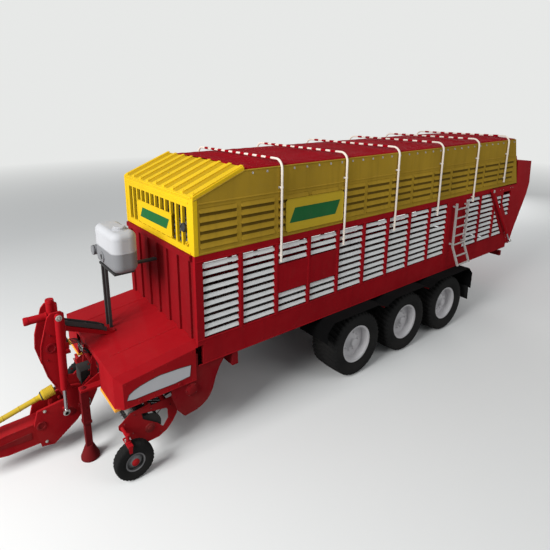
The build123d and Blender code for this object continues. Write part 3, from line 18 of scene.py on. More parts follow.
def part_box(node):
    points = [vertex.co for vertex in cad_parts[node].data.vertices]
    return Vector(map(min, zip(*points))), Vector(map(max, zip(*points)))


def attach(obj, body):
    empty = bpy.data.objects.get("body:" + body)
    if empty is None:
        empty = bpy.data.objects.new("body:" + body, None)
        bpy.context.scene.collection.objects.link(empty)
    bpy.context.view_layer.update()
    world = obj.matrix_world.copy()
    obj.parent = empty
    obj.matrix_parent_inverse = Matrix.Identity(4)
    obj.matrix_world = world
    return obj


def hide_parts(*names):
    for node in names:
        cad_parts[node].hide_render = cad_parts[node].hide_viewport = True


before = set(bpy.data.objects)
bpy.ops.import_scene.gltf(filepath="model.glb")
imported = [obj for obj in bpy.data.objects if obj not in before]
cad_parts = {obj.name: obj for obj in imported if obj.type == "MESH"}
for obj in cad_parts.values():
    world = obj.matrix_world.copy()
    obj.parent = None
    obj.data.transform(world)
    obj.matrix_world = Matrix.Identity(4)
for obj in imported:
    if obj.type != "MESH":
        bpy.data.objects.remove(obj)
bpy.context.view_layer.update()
LOG = logging.getLogger("wagon")

WALL_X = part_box("side_walls")[1].x
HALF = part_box("front_roof")[1].y
Colour = tuple[float, float, float]
Point = tuple[float, float, float]
Pair = tuple[float, float]
Line = tuple[Pair, ...]
Socket = bpy.types.NodeSocket
SIDES = (("left", 1), ("right", -1))

# Directions in the frame: the wagon's left, up, down, forward and back.
OUT, UP, DOWN = Vector((0, 1, 0)), Vector((0, 0, 1)), Vector((0, 0, -1))
AHEAD, BACK = Vector((1, 0, 0)), Vector((-1, 0, 0))

# Places that several sub-assemblies share.
HOOPS = (-1.420, -2.750, -4.080, -5.440, -6.760, -8.050)
HOOP_RADIUS = 0.017
FIRST_BAY, BAY_PITCH, BAY_WIDTH, BAYS = 0.112, 0.6455, 0.572, 13


def at(x: float, y: float, z: float) -> Vector:
    """Give the frame's point for a place forward of the front wall, left of the middle and above ground."""
    return Vector((WALL_X + x, y, z))


def drawn(y: float, places: Iterable[Pair]) -> list[Vector]:
    """Give the points of a line seen from the side.

    Args:
        y: How far left of the middle it lies.
        places: Pairs of place forward of the front wall and height.

    Returns:
        The points.
    """
    return [at(x, y, z) for x, z in places]


def around(count: int, start: float = 0.0) -> list[Pair]:
    """Share out a circle evenly.

    Args:
        count: How many directions there are.
        start: Where the first one is, as a share of the step between two.

    Returns:
        The cosine and sine of each direction.
    """
    return [(cos(2 * pi * (i + start) / count), sin(2 * pi * (i + start) / count)) for i in range(count)]


def link(name: str, data: bpy.types.ID) -> bpy.types.Object:
    """Make an object of some data and put it in the scene.

    Args:
        name: The object's name.
        data: The mesh, camera or light that it shows.

    Returns:
        The new object.
    """
    made = bpy.data.objects.new(name, data)
    bpy.context.scene.collection.objects.link(made)
    return made


class Grain(Enum):
    """Which fine relief a finish has."""

    ORANGE_PEEL = "orange peel"
    CAST = "cast"
    BRUSHED = "brushed"
    MOULDED = "moulded"
    WOVEN = "woven"


class Tree:
    """A material's shader tree, with short calls for the nodes that several finishes share."""

    def __init__(self, name: str) -> None:
        """Start an empty finish.

        Args:
            name: The material's name.
        """
        self.material = bpy.data.materials.new(name)
        self.material.use_nodes = True
        self.tree = self.material.node_tree
        self.surface = self.tree.nodes["Principled BSDF"]
        self.point = self.add("ShaderNodeTexCoord").outputs["Object"]
        self.facing = self.add("ShaderNodeTexCoord").outputs["Normal"]

    def add(self, kind: str, inputs: dict | None = None, **settings: object) -> bpy.types.Node:
        """Add a node.

        Args:
            kind: The node's type.
            inputs: Sockets by name or number, each with a value or another node's output.
            **settings: The node's own settings.

        Returns:
            The new node.
        """
        node = self.tree.nodes.new(kind)
        for key, value in settings.items():
            setattr(node, key, value)
        for key, value in (inputs or {}).items():
            self.feed(node.inputs[key], value)
        return node

    def feed(self, socket: Socket, value: object) -> None:
        """Link an output to a socket, or set the socket's own value.

        Args:
            socket: The socket to set.
            value: A value, or another node's output.
        """
        if isinstance(value, Socket):
            self.tree.links.new(value, socket)
        else:
            socket.default_value = value

    def noise(self, scale: float, detail: float = 3.0, stretch: Point = (1, 1, 1)) -> Socket:
        """Give a soft noise over the surface.

        Args:
            scale: How many features there are in a metre.
            detail: How many finer layers it has.
            stretch: A factor along each axis.

        Returns:
            The noise, from 0 to 1.
        """
        place = self.add("ShaderNodeMapping", {"Vector": self.point, "Scale": stretch}).outputs[0]
        return self.add("ShaderNodeTexNoise", {"Vector": place, "Scale": scale, "Detail": detail}).outputs[0]

    def remap(self, value: object, low: float, high: float, to: Pair = (0, 1)) -> Socket:
        """Spread a value's range from low to high over another range, and clamp it there."""
        node = self.add("ShaderNodeMapRange", {0: value, 1: low, 2: high, 3: to[0], 4: to[1]})
        return node.outputs[0]

    def maths(self, operation: str, a: object, b: object = 0.0) -> Socket:
        """Work out one sum of two values."""
        return self.add("ShaderNodeMath", {0: a, 1: b}, operation=operation).outputs[0]

    def blend(self, share: object, a: object, b: object) -> Socket:
        """Mix two colours by a share from 0, all the first, to 1, all the second.

        Args:
            share: How much of the second there is.
            a: The first colour.
            b: The second colour.

        Returns:
            The mixed colour.
        """
        a, b = ((*c, 1) if isinstance(c, tuple) and len(c) == 3 else c for c in (a, b))
        node = self.add("ShaderNodeMix", {0: share, 6: a, 7: b}, data_type="RGBA")
        return node.outputs[2]

    def height(self) -> Socket:
        """Give the height above the ground at rest."""
        return self.add("ShaderNodeSeparateXYZ", {0: self.point}).outputs[2]

    def edges(self, radius: float) -> tuple[Socket, Socket]:
        """Round the edges in shading.

        Args:
            radius: How far from an edge the rounding reaches.

        Returns:
            The rounded normal, and a mask that is 1 on the edges.
        """
        rounded = self.add("ShaderNodeBevel", {"Radius": radius}, samples=4).outputs[0]
        flat = self.add("ShaderNodeNewGeometry").outputs["Normal"]
        likeness = self.add("ShaderNodeVectorMath", {0: rounded, 1: flat}, operation="DOT_PRODUCT").outputs[1]
        return rounded, self.remap(likeness, 0.995, 0.93)

    def relief(self, height: object, depth: float, normal: object = None) -> Socket:
        """Turn a height into a bumped normal, on top of another normal if one is given.

        Args:
            height: The height, from 0 to 1.
            depth: How deep a height of 1 is.
            normal: The normal below it, if there is one.

        Returns:
            The bumped normal.
        """
        inputs = {"Height": height, "Distance": depth, "Strength": 1.0}
        if normal is not None:
            inputs["Normal"] = normal
        return self.add("ShaderNodeBump", inputs).outputs[0]

    def dirt(self, top: float, share: float) -> Socket:
        """Give a mask of dust that thins out with height.

        Args:
            top: The height above which hardly any dust lies.
            share: The mask's most.

        Returns:
            The mask.
        """
        low_down = self.remap(self.height(), top, top * 0.15)
        patches = self.remap(self.noise(2.6, 6.0), 0.36, 0.74)
        everywhere = self.remap(self.noise(9.0, 4.0), 0.52, 0.85, (0, 0.35))
        spread = self.maths("MAXIMUM", self.maths("MULTIPLY", low_down, patches), everywhere)
        return self.maths("MULTIPLY", spread, share)

    def weave(self, threads: float) -> Socket:
        """Give the height of a plain weave lying flat, with this many threads in a metre.

        Args:
            threads: How many threads there are in a metre.

        Returns:
            The height, from 0 to 1.
        """
        across = self.add("ShaderNodeTexWave", {"Vector": self.point, "Scale": threads / 20},
                          wave_type="BANDS", bands_direction="X").outputs[1]
        along = self.add("ShaderNodeTexWave", {"Vector": self.point, "Scale": threads / 20},
                         wave_type="BANDS", bands_direction="Y").outputs[1]
        return self.maths("MAXIMUM", across, along)

    def grain(self, kind: Grain) -> tuple[Socket, float]:
        """Give a fine relief's height, and its depth in metres.

        Args:
            kind: Which relief it is.

        Returns:
            The height, from 0 to 1, and the depth.
        """
        if kind is Grain.ORANGE_PEEL:
            return self.noise(130.0, 2.0), 0.0004
        if kind is Grain.CAST:
            return self.noise(70.0, 6.0), 0.0016
        if kind is Grain.BRUSHED:
            return self.noise(60.0, 4.0, (1, 1, 14)), 0.0004
        if kind is Grain.MOULDED:
            return self.noise(220.0, 3.0), 0.0006
        return self.weave(420.0), 0.0008


@dataclass(frozen=True)
class Finish:
    """One finish of the wagon: its colour, gloss, grain, dust and worn edges."""

    name: str
    colour: Colour
    roughness: float
    grain: Grain
    metallic: float = 0.0
    coat: float = 0.0
    tone: float = 0.10
    dust: float = 0.22
    dust_top: float = 1.7
    dust_colour: Colour = (0.20, 0.165, 0.125)
    edge: float = 0.004
    edge_colour: Colour | None = None
    edge_share: float = 0.35
    waviness: float = 0.0
    specular: float = 0.5

    def material(self) -> bpy.types.Material:
        """Make the finish's material, or give the one made before.

        Returns:
            The material.
        """
        made = bpy.data.materials.get(self.name)
        if made is not None:
            return made
        tree = Tree(self.name)
        colour = self.base(tree)
        normal, edges = tree.edges(self.edge)
        if self.edge_colour is not None:
            chipped = tree.remap(tree.noise(34.0, 5.0), 0.50, 0.62)
            worn = tree.maths("MULTIPLY", tree.maths("MULTIPLY", edges, chipped), self.edge_share)
            colour = tree.blend(worn, colour, self.edge_colour)
        dust = tree.dirt(self.dust_top, self.dust)
        colour = tree.blend(dust, colour, self.dust_colour)
        smear = tree.remap(tree.noise(7.0, 5.0), 0.3, 0.75, (-0.06, 0.08))
        gloss = tree.maths("ADD", tree.maths("MULTIPLY_ADD", dust, 0.5), self.roughness)
        if self.waviness:
            normal = tree.relief(tree.noise(1.7, 1.0), self.waviness, normal)
        height, depth = tree.grain(self.grain)
        surface = tree.surface.inputs
        tree.feed(surface["Base Color"], colour)
        tree.feed(surface["Roughness"], tree.maths("ADD", gloss, smear))
        tree.feed(surface["Metallic"], self.metallic)
        tree.feed(surface["Coat Weight"], self.coat)
        tree.feed(surface["Coat Roughness"], 0.12)
        tree.feed(surface["Specular IOR Level"], self.specular)
        tree.feed(surface["Normal"], tree.relief(height, depth, normal))
        return tree.material

    def base(self, tree: Tree) -> Socket:
        """Give the clean colour, a little uneven in tone.

        Args:
            tree: The material's tree.

        Returns:
            The colour.
        """
        dark = tuple(c * (1 - self.tone) for c in self.colour)
        light = tuple(min(c * (1 + self.tone), 1) for c in self.colour)
        cloudy = tree.remap(tree.noise(1.3, 4.0), 0.3, 0.7)
        return tree.blend(cloudy, dark, light)


@dataclass(frozen=True)
class SideFinish(Finish):
    """A painted outer wall, with dull rain streaks under its ledges."""

    streak: float = 0.25

    def base(self, tree: Tree) -> Socket:
        """Give the paint's colour with its streaks.

        Args:
            tree: The material's tree.

        Returns:
            The colour.
        """
        clean = super().base(tree)
        streaks = tree.remap(tree.noise(11.0, 5.0, (1, 1, 0.10)), 0.47, 0.78, (0, self.streak))
        return tree.blend(streaks, clean, tuple(c * 0.45 for c in self.colour))


@dataclass(frozen=True)
class RimShadingFinish(Finish):
    """A wheel's paint with painted light and shade: one tone on the disc and another on the rim's inside, set by which
    way the surface faces.
    """

    barrel_painted_shading: Colour = (0.66, 0.65, 0.66)

    def base(self, tree: Tree) -> Socket:
        """Give the disc's colour, and another tone where the surface faces away from the axle's ends: painted shading
        of the rim's inside.

        Args:
            tree: The material's tree.

        Returns:
            The colour.
        """
        clean = super().base(tree)
        across = tree.maths("ABSOLUTE", tree.add("ShaderNodeSeparateXYZ", {0: tree.facing}).outputs[1])
        return tree.blend(tree.remap(across, 0.55, 0.35), clean, self.barrel_painted_shading)


@dataclass(frozen=True)
class ZincFinish(Finish):
    """Hot-dipped steel with its grey spangle."""

    def base(self, tree: Tree) -> Socket:
        """Give the spangled colour.

        Args:
            tree: The material's tree.

        Returns:
            The colour.
        """
        clean = super().base(tree)
        cells = tree.add("ShaderNodeTexVoronoi", {"Vector": tree.point, "Scale": 90.0}).outputs["Color"]
        level = tree.add("ShaderNodeSeparateXYZ", {0: cells}).outputs[0]
        return tree.blend(tree.remap(level, 0.2, 0.9, (0, 0.35)), clean, tuple(c * 0.6 for c in self.colour))


@dataclass(frozen=True)
class ClothFinish(Finish):
    """Coated roof cloth: woven, with paler creases and seams across it."""

    fade: Colour = (0.52, 0.03, 0.05)

    def base(self, tree: Tree) -> Socket:
        """Give the cloth's colour, faded in long creases.

        Args:
            tree: The material's tree.

        Returns:
            The colour.
        """
        clean = super().base(tree)
        creases = tree.remap(tree.noise(3.4, 5.0, (0.35, 1.4, 1)), 0.52, 0.70, (0, 0.45))
        return tree.blend(creases, clean, self.fade)


@dataclass(frozen=True)
class TankFinish(Finish):
    """Translucent moulded plastic, darker up to the level of what stands in it."""

    level: float = 2.775
    filled: Colour = (0.13, 0.133, 0.14)

    def base(self, tree: Tree) -> Socket:
        """Give the pale plastic, darkened below the level.

        Args:
            tree: The material's tree.

        Returns:
            The colour.
        """
        clean = super().base(tree)
        share = tree.remap(tree.height(), self.level + 0.012, self.level - 0.012, (0, 0.8))
        return tree.blend(share, clean, self.filled)


@dataclass(frozen=True)
class LensFinish(Finish):
    """A lamp's clear lens over small prisms."""

    def base(self, tree: Tree) -> Socket:
        """Give the lens's colour, checked by its prisms.

        Args:
            tree: The material's tree.

        Returns:
            The colour.
        """
        clean = super().base(tree)
        prisms = tree.add("ShaderNodeTexChecker", {"Vector": tree.point, "Scale": 110.0}).outputs[1]
        return tree.blend(tree.maths("MULTIPLY", prisms, 0.35), clean, tuple(min(c * 2.2, 1) for c in self.colour))


PRIMER = (0.30, 0.26, 0.24)
RED = Finish("red_enamel", (0.34, 0.0018, 0.0065), 0.36, Grain.ORANGE_PEEL, coat=0.04, edge_colour=PRIMER,
             edge_share=0.20, waviness=0.004, dust=0.10, specular=0.14)
SIDE_RED = SideFinish("side_red_enamel", (0.31, 0.0016, 0.0065), 0.38, Grain.ORANGE_PEEL,
                      edge_colour=(0.50, 0.03, 0.035), edge_share=0.4, waviness=0.003, dust=0.10, specular=0.14)
DARK_RED = Finish("chassis_red_enamel", (0.22, 0.0015, 0.0055), 0.42, Grain.CAST, dust=0.20, edge_colour=PRIMER,
                  specular=0.16)
# Painted shade: a darker copy of the red enamel for the ribbed front wall, standing in for the shade between its ribs.
WALL_RED_SHADED = Finish("front_wall_shaded_enamel", (0.215, 0.0012, 0.0045), 0.36, Grain.ORANGE_PEEL, edge_colour=PRIMER,
                  edge_share=0.20, waviness=0.004, dust=0.08, specular=0.16)
# Painted shade: a darker copy of the red enamel for the parking jack, standing in for the shade under the hood.
JACK_RED_SHADED = Finish("jack_shaded_enamel", (0.14, 0.0010, 0.0038), 0.36, Grain.CAST, dust=0.12, dust_colour=(0.09, 0.05, 0.04),
                  specular=0.2)
YELLOW = Finish("yellow_enamel", (0.72, 0.465, 0.006), 0.38, Grain.ORANGE_PEEL, coat=0.06, tone=0.06,
                edge_colour=(0.86, 0.66, 0.16), edge_share=0.3, waviness=0.003, dust=0.10, specular=0.18)
# Painted shade: a darker yellow for the strips in the grooves beside the front roof's ribs, where shade falls.
ROOF_GROOVE_SHADE = Finish("roof_groove_painted_shade", (0.47, 0.285, 0.006), 0.45, Grain.ORANGE_PEEL, tone=0.08, dust=0.12, specular=0.16)
# Partly painted shade: the upper sides wear the front's yellow made darker and browner, partly their own duller tone
# and partly the shade on the sides painted in.
SIDE_YELLOW_SHADED = SideFinish("side_yellow_shaded_enamel", (0.38, 0.236, 0.020), 0.46, Grain.ORANGE_PEEL, tone=0.10,
                   edge_colour=(0.62, 0.42, 0.08), edge_share=0.5, waviness=0.003, streak=0.24, dust=0.12,
                   specular=0.16)
# Painted shade: a near-black ochre for the strips under the louvres, where shade falls.
LOUVRE_SHADE = SideFinish("louvre_painted_shade", (0.13, 0.078, 0.008), 0.55, Grain.ORANGE_PEEL, tone=0.12, streak=0.2,
                        specular=0.14)
SIGN_YELLOW = Finish("sign_yellow", (0.52, 0.36, 0.018), 0.40, Grain.ORANGE_PEEL, tone=0.06, dust=0.10, specular=0.3)
SIGN_GREEN = Finish("sign_green", (0.008, 0.115, 0.028), 0.42, Grain.ORANGE_PEEL, tone=0.10, dust=0.10, specular=0.3)
PLATE = Finish("silver_plate", (0.56, 0.56, 0.58), 0.36, Grain.BRUSHED, metallic=0.35, tone=0.05, dust=0.10)
ORANGE = Finish("orange_guard", (0.95, 0.42, 0.035), 0.38, Grain.MOULDED, dust=0.25)
SLATS = SideFinish("slat_enamel", (0.73, 0.745, 0.735), 0.44, Grain.BRUSHED, tone=0.06, dust=0.14,
                   edge_colour=(0.80, 0.81, 0.80), streak=0.12)
HOOP_WHITE = Finish("hoop_enamel", (0.80, 0.72, 0.63), 0.38, Grain.ORANGE_PEEL, tone=0.06, edge=0.002,
                    edge_colour=(0.42, 0.30, 0.22), edge_share=0.25)
ZINC = ZincFinish("zinc", (0.52, 0.50, 0.48), 0.42, Grain.CAST, metallic=0.85, edge=0.002)
STEEL = Finish("worn_steel", (0.34, 0.33, 0.32), 0.42, Grain.BRUSHED, metallic=0.9, dust=0.35)
DARK_STEEL = Finish("dark_steel", (0.055, 0.052, 0.050), 0.50, Grain.CAST, metallic=0.55, dust=0.12, edge=0.002,
                    dust_colour=(0.06, 0.052, 0.044), specular=0.3)
CHROME = Finish("chrome_rod", (0.80, 0.80, 0.82), 0.10, Grain.ORANGE_PEEL, metallic=1.0, tone=0.02, dust=0.05,
                edge=0.001)
BOLT = Finish("bolt_zinc", (0.48, 0.47, 0.44), 0.36, Grain.BRUSHED, metallic=0.85, edge=0.001, dust=0.15)
DECK = Finish("worn_deck", (0.10, 0.03, 0.025), 0.60, Grain.CAST, dust=0.5, dust_top=2.4)
CLOTH = ClothFinish("roof_cloth", (0.30, 0.0018, 0.008), 0.66, Grain.WOVEN, tone=0.14, dust=0.04, edge=0.002,
                    specular=0.06, fade=(0.35, 0.005, 0.014))
TANK = TankFinish("tank_grey", (0.46, 0.465, 0.48), 0.32, Grain.MOULDED, tone=0.10, dust=0.10, specular=0.6)
BLACK = Finish("black_plastic", (0.008, 0.008, 0.009), 0.58, Grain.MOULDED, tone=0.25, dust=0.07,
               dust_colour=(0.04, 0.036, 0.032), specular=0.16)
GUARD_BLACK = Finish("mudguard_plastic", (0.004, 0.004, 0.0042), 0.66, Grain.MOULDED, tone=0.25, dust=0.03,
                     dust_colour=(0.03, 0.027, 0.024), specular=0.08)
MESH_BLACK = Finish("screen_wire", (0.010, 0.009, 0.008), 0.55, Grain.CAST, tone=0.2, dust=0.10, edge=0.001,
                    dust_colour=(0.07, 0.06, 0.05), specular=0.3)
GUARD_YELLOW = Finish("guard_yellow", (0.54, 0.37, 0.012), 0.42, Grain.MOULDED, tone=0.12, dust=0.25)
RUBBER = Finish("rubber", (0.010, 0.010, 0.010), 0.66, Grain.CAST, tone=0.25, dust=0.14, dust_top=1.3,
                dust_colour=(0.050, 0.044, 0.038), edge=0.002, specular=0.20)
# Painted shade: the road wheels' discs are a touch darker than the rim's inside, for the shade that falls into the
# dished disc.
RIM_SHADED = RimShadingFinish("rim_enamel_painted_shading", (0.62, 0.61, 0.62), 0.36, Grain.ORANGE_PEEL, tone=0.07, dust=0.14,
                edge_colour=(0.3, 0.3, 0.3), edge_share=0.2)
# Painted shade: the gauge wheels' silver rims are darkened for the shade they stand in, and darker again on the inside
# of the rim.
GAUGE_RIM_SHADED = RimShadingFinish("gauge_rim_shaded_enamel", (0.20, 0.20, 0.205), 0.30, Grain.ORANGE_PEEL, metallic=0.5, tone=0.1,
                      dust=0.12, dust_colour=(0.08, 0.07, 0.06), barrel_painted_shading=(0.07, 0.07, 0.073))
LAMP_RED = LensFinish("lamp_red", (0.42, 0.008, 0.006), 0.16, Grain.MOULDED, coat=0.6, dust=0.08)
LAMP_AMBER = LensFinish("lamp_amber", (0.60, 0.17, 0.008), 0.16, Grain.MOULDED, coat=0.6, dust=0.08)

NODE_FINISHES: dict[Finish, tuple[str, ...]] = {
    RED: ("hood", "headstock", "drawbar", "tailgate",
          "ram_barrels", "tail_barrels", "pickup_frame"),
    WALL_RED_SHADED: ("front_wall",),
    JACK_RED_SHADED: ("jack_tube", "jack_leg"),
    SIDE_RED: ("side_walls",),
    DARK_RED: ("chassis_frame", "cross_members", "rotor_housing", "axles",
               "knuckle_1_left", "knuckle_1_right", "knuckle_3_left", "knuckle_3_right"),
    YELLOW: ("upper_front", "front_roof"),
    SIDE_YELLOW_SHADED: ("upper_sides",),
    ORANGE: ("hood_guard",),
    SLATS: ("side_slats", "cheek_slats"),
    HOOP_WHITE: ("roof_hoops",),
    ZINC: ("ladder",),
    DECK: ("floor",),
    STEEL: ("scraper_floor", "crop_roller", "hitch_cup", "drive_shaft"),
    DARK_STEEL: ("feed_rotor", "pickup_reel", "stripper_bands", "gearbox"),
    CHROME: ("ram_rods", "tail_rods"),
    GUARD_YELLOW: ("shaft_guard",),
    BLACK: ("tank_frame",),
    GUARD_BLACK: ("mudguards",),
    TANK: ("tank",),
    RIM_SHADED: tuple(f"rim_{i}_{side}" for i in (1, 2, 3) for side, _ in SIDES),
    GAUGE_RIM_SHADED: tuple(f"gauge_rim_{side}" for side, _ in SIDES),
    RUBBER: tuple(f"tyre_{i}_{side}" for i in (1, 2, 3) for side, _ in SIDES)
    + tuple(f"gauge_tyre_{side}" for side, _ in SIDES),
    LAMP_RED: ("rear_lamps",),
    CLOTH: ("roof_cover",),
}


def dress_frame() -> None:
    """Give every node of the frame its finish."""
    for finish, names in NODE_FINISHES.items():
        for name in names:
            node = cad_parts[name]
            node.data.materials.clear()
            node.data.materials.append(finish.material())
            LOG.info("%s wears %s", name, finish.name)


class Mesh:
    """One piece's mesh, gathered from simple worked forms before it becomes an object."""

    def __init__(self) -> None:
        """Start with no faces."""
        self.data = bmesh.new()

    def faces(self, points: Iterable[Sequence[float]], loops: Iterable[Sequence[int]]) -> None:
        """Add points and the faces between them.

        Args:
            points: The points.
            loops: Each face's points, by number.
        """
        corners = [self.data.verts.new(p) for p in points]
        for loop in loops:
            self.data.faces.new([corners[i] for i in loop])

    def prism(self, outline: Sequence[Vector], depth: Vector) -> None:
        """Add a straight solid with this outline.

        Args:
            outline: The corners of one end.
            depth: The way from that end to the other.
        """
        count = len(outline)
        ring = list(range(count))
        walls = [(i, (i + 1) % count, (i + 1) % count + count, i + count) for i in ring]
        self.faces([*outline, *[p + depth for p in outline]], [ring[::-1], [i + count for i in ring], *walls])

    def block(self, low: Vector, high: Vector) -> None:
        """Add a block between two opposite corners.

        Args:
            low: Its lower rear right corner.
            high: Its upper front left corner.
        """
        base = ((low.x, low.y), (high.x, low.y), (high.x, high.y), (low.x, high.y))
        self.prism([Vector((x, y, low.z)) for x, y in base], Vector((0, 0, high.z - low.z)))

    def turned(self, origin: Vector, axis: Vector, profile: Sequence[Pair], steps: int = 32) -> None:
        """Add a turned solid or shell.

        Args:
            origin: A point on its axis.
            axis: The axis's direction.
            profile: Pairs of distance along the axis and radius, from one end to the other. A radius of 0
                closes an end.
            steps: How many facets go round.
        """
        turn = axis.to_track_quat("Z", "Y").to_matrix()
        rings = []
        for along, radius in profile:
            if radius <= 0:
                rings.append([self.data.verts.new(origin + turn @ Vector((0, 0, along)))])
                continue
            rings.append([self.data.verts.new(origin + turn @ Vector((radius * c, radius * s, along)))
                          for c, s in around(steps)])
        for a, b in zip(rings, rings[1:]):
            for i in range(steps):
                j = (i + 1) % steps
                corners = [a[i % len(a)], a[j % len(a)], b[j % len(b)], b[i % len(b)]]
                self.data.faces.new(list(dict.fromkeys(corners)))

    def nut(self, centre: Vector, axis: Vector, width: float, height: float) -> None:
        """Add a six-sided nut on a washer, with its stud's end standing out.

        Args:
            centre: The middle of its seat.
            axis: The way that it faces.
            width: Its width over the corners.
            height: Its height.
        """
        self.turned(centre, axis, [(0, 0), (0, width * 0.72), (height * 0.18, width * 0.72), (height * 0.18, 0)], 16)
        self.turned(centre, axis, [(height * 0.15, width * 0.5), (height * 0.85, width * 0.5), (height, width * 0.42),
                                   (height, 0)], 6)
        self.turned(centre, axis, [(height * 0.9, width * 0.27), (height * 1.35, width * 0.27),
                                   (height * 1.4, 0)], 10)

    def dome(self, centre: Vector, axis: Vector, radius: float, height: float) -> None:
        """Add a round rivet or bolt head.

        Args:
            centre: The middle of its seat.
            axis: The way that it faces.
            radius: Its radius.
            height: Its height.
        """
        self.turned(centre, axis, [(0, radius), (height * 0.5, radius * 0.86), (height * 0.85, radius * 0.5),
                                   (height, 0)], 10)

    def tube(self, path: Sequence[Vector], radius: float | Callable[[float], float], sides: int = 12,
             closed: bool = False) -> None:
        """Add a round tube along a path.

        Args:
            path: The points that its middle follows.
            radius: Its radius, or a function that gives it for the share of the path passed.
            sides: How many facets go round.
            closed: Whether the path's end joins its start.
        """
        count = len(path)
        rings = []
        side = None
        for i, point in enumerate(path):
            before = path[i - 1] if i or closed else point
            after = path[(i + 1) % count] if i + 1 < count or closed else point
            way = (after - before).normalized()
            if side is None:
                side = way.orthogonal().normalized()
            side = (side - way * side.dot(way)).normalized()
            up = way.cross(side)
            r = radius(i / (count - 1)) if callable(radius) else radius
            rings.append([self.data.verts.new(point + side * r * c + up * r * s) for c, s in around(sides)])
        pairs = list(zip(rings, rings[1:]))
        if closed:
            pairs.append((rings[-1], rings[0]))
        for a, b in pairs:
            for k in range(sides):
                j = (k + 1) % sides
                self.data.faces.new((a[k], a[j], b[j], b[k]))
        if not closed:
            self.data.faces.new(rings[0][::-1])
            self.data.faces.new(rings[-1])

    def grid(self, rows: Sequence[Sequence[Vector]], wrap: bool = False) -> None:
        """Add a net of faces through rows of points, joined round if wrap is set.

        Args:
            rows: The rows, all of one length.
            wrap: Whether the last row joins the first.
        """
        net = [[self.data.verts.new(p) for p in row] for row in rows]
        pairs = list(zip(net, net[1:]))
        if wrap:
            pairs.append((net[-1], net[0]))
        for a, b in pairs:
            for i in range(len(a) - 1):
                self.data.faces.new((a[i], b[i], b[i + 1], a[i + 1]))

    def mirror(self) -> None:
        """Add the same again on the wagon's other side."""
        made = bmesh.ops.duplicate(self.data, geom=self.data.verts[:] + self.data.edges[:] + self.data.faces[:])
        for item in made["geom"]:
            if isinstance(item, bmesh.types.BMVert):
                item.co.y = -item.co.y
        bmesh.ops.reverse_faces(self.data, faces=[f for f in made["geom"] if isinstance(f, bmesh.types.BMFace)])

    def piece(self, name: str, finish: Finish, body: str = "chassis", bevel: float = 0.0,
              smooth: float = 35.0) -> bpy.types.Object:
        """Turn the mesh into a piece that rides on a body.

        Args:
            name: The piece's name.
            finish: What it wears.
            body: The body that it rides on.
            bevel: How far its edges are rounded.
            smooth: Faces that meet at less than this angle, in degrees, are shaded as one.

        Returns:
            The new piece.
        """
        bmesh.ops.recalc_face_normals(self.data, faces=self.data.faces[:])
        mesh = bpy.data.meshes.new(name)
        self.data.to_mesh(mesh)
        self.data.free()
        mesh.materials.append(finish.material())
        made = link(name, mesh)
        if bevel:
            rounding = made.modifiers.new("rounding", "BEVEL")
            rounding.width = bevel
            rounding.segments = 2
            rounding.limit_method = "ANGLE"
            rounding.angle_limit = radians(40)
        shade(mesh, smooth)
        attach(made, body)
        LOG.info("%s: %d faces on %s", name, len(mesh.polygons), body)
        return made

    def both_sides(self, name: str, finish: Finish, body: str = "chassis",
                   bevel: float = 0.0) -> bpy.types.Object:
        """Mirror the mesh, and turn both halves into one piece.

        Args:
            name: The piece's name.
            finish: What it wears.
            body: The body that it rides on.
            bevel: How far its edges are rounded.

        Returns:
            The new piece.
        """
        self.mirror()
        return self.piece(name, finish, body, bevel)


def thicken(made: bpy.types.Object, thickness: float) -> None:
    """Give a thin sheet its thickness, half on each side.

    Args:
        made: The sheet's piece.
        thickness: Its thickness.
    """
    sheet = made.modifiers.new("thickness", "SOLIDIFY")
    sheet.thickness = thickness
    sheet.offset = 0.0


def shade(mesh: bpy.types.Mesh, angle: float) -> None:
    """Shade a mesh smooth, apart from edges sharper than an angle in degrees.

    Args:
        mesh: The mesh.
        angle: The least angle of an edge that stays sharp, in degrees.
    """
    for face in mesh.polygons:
        face.use_smooth = True
    mesh.set_sharp_from_angle(angle=radians(angle))


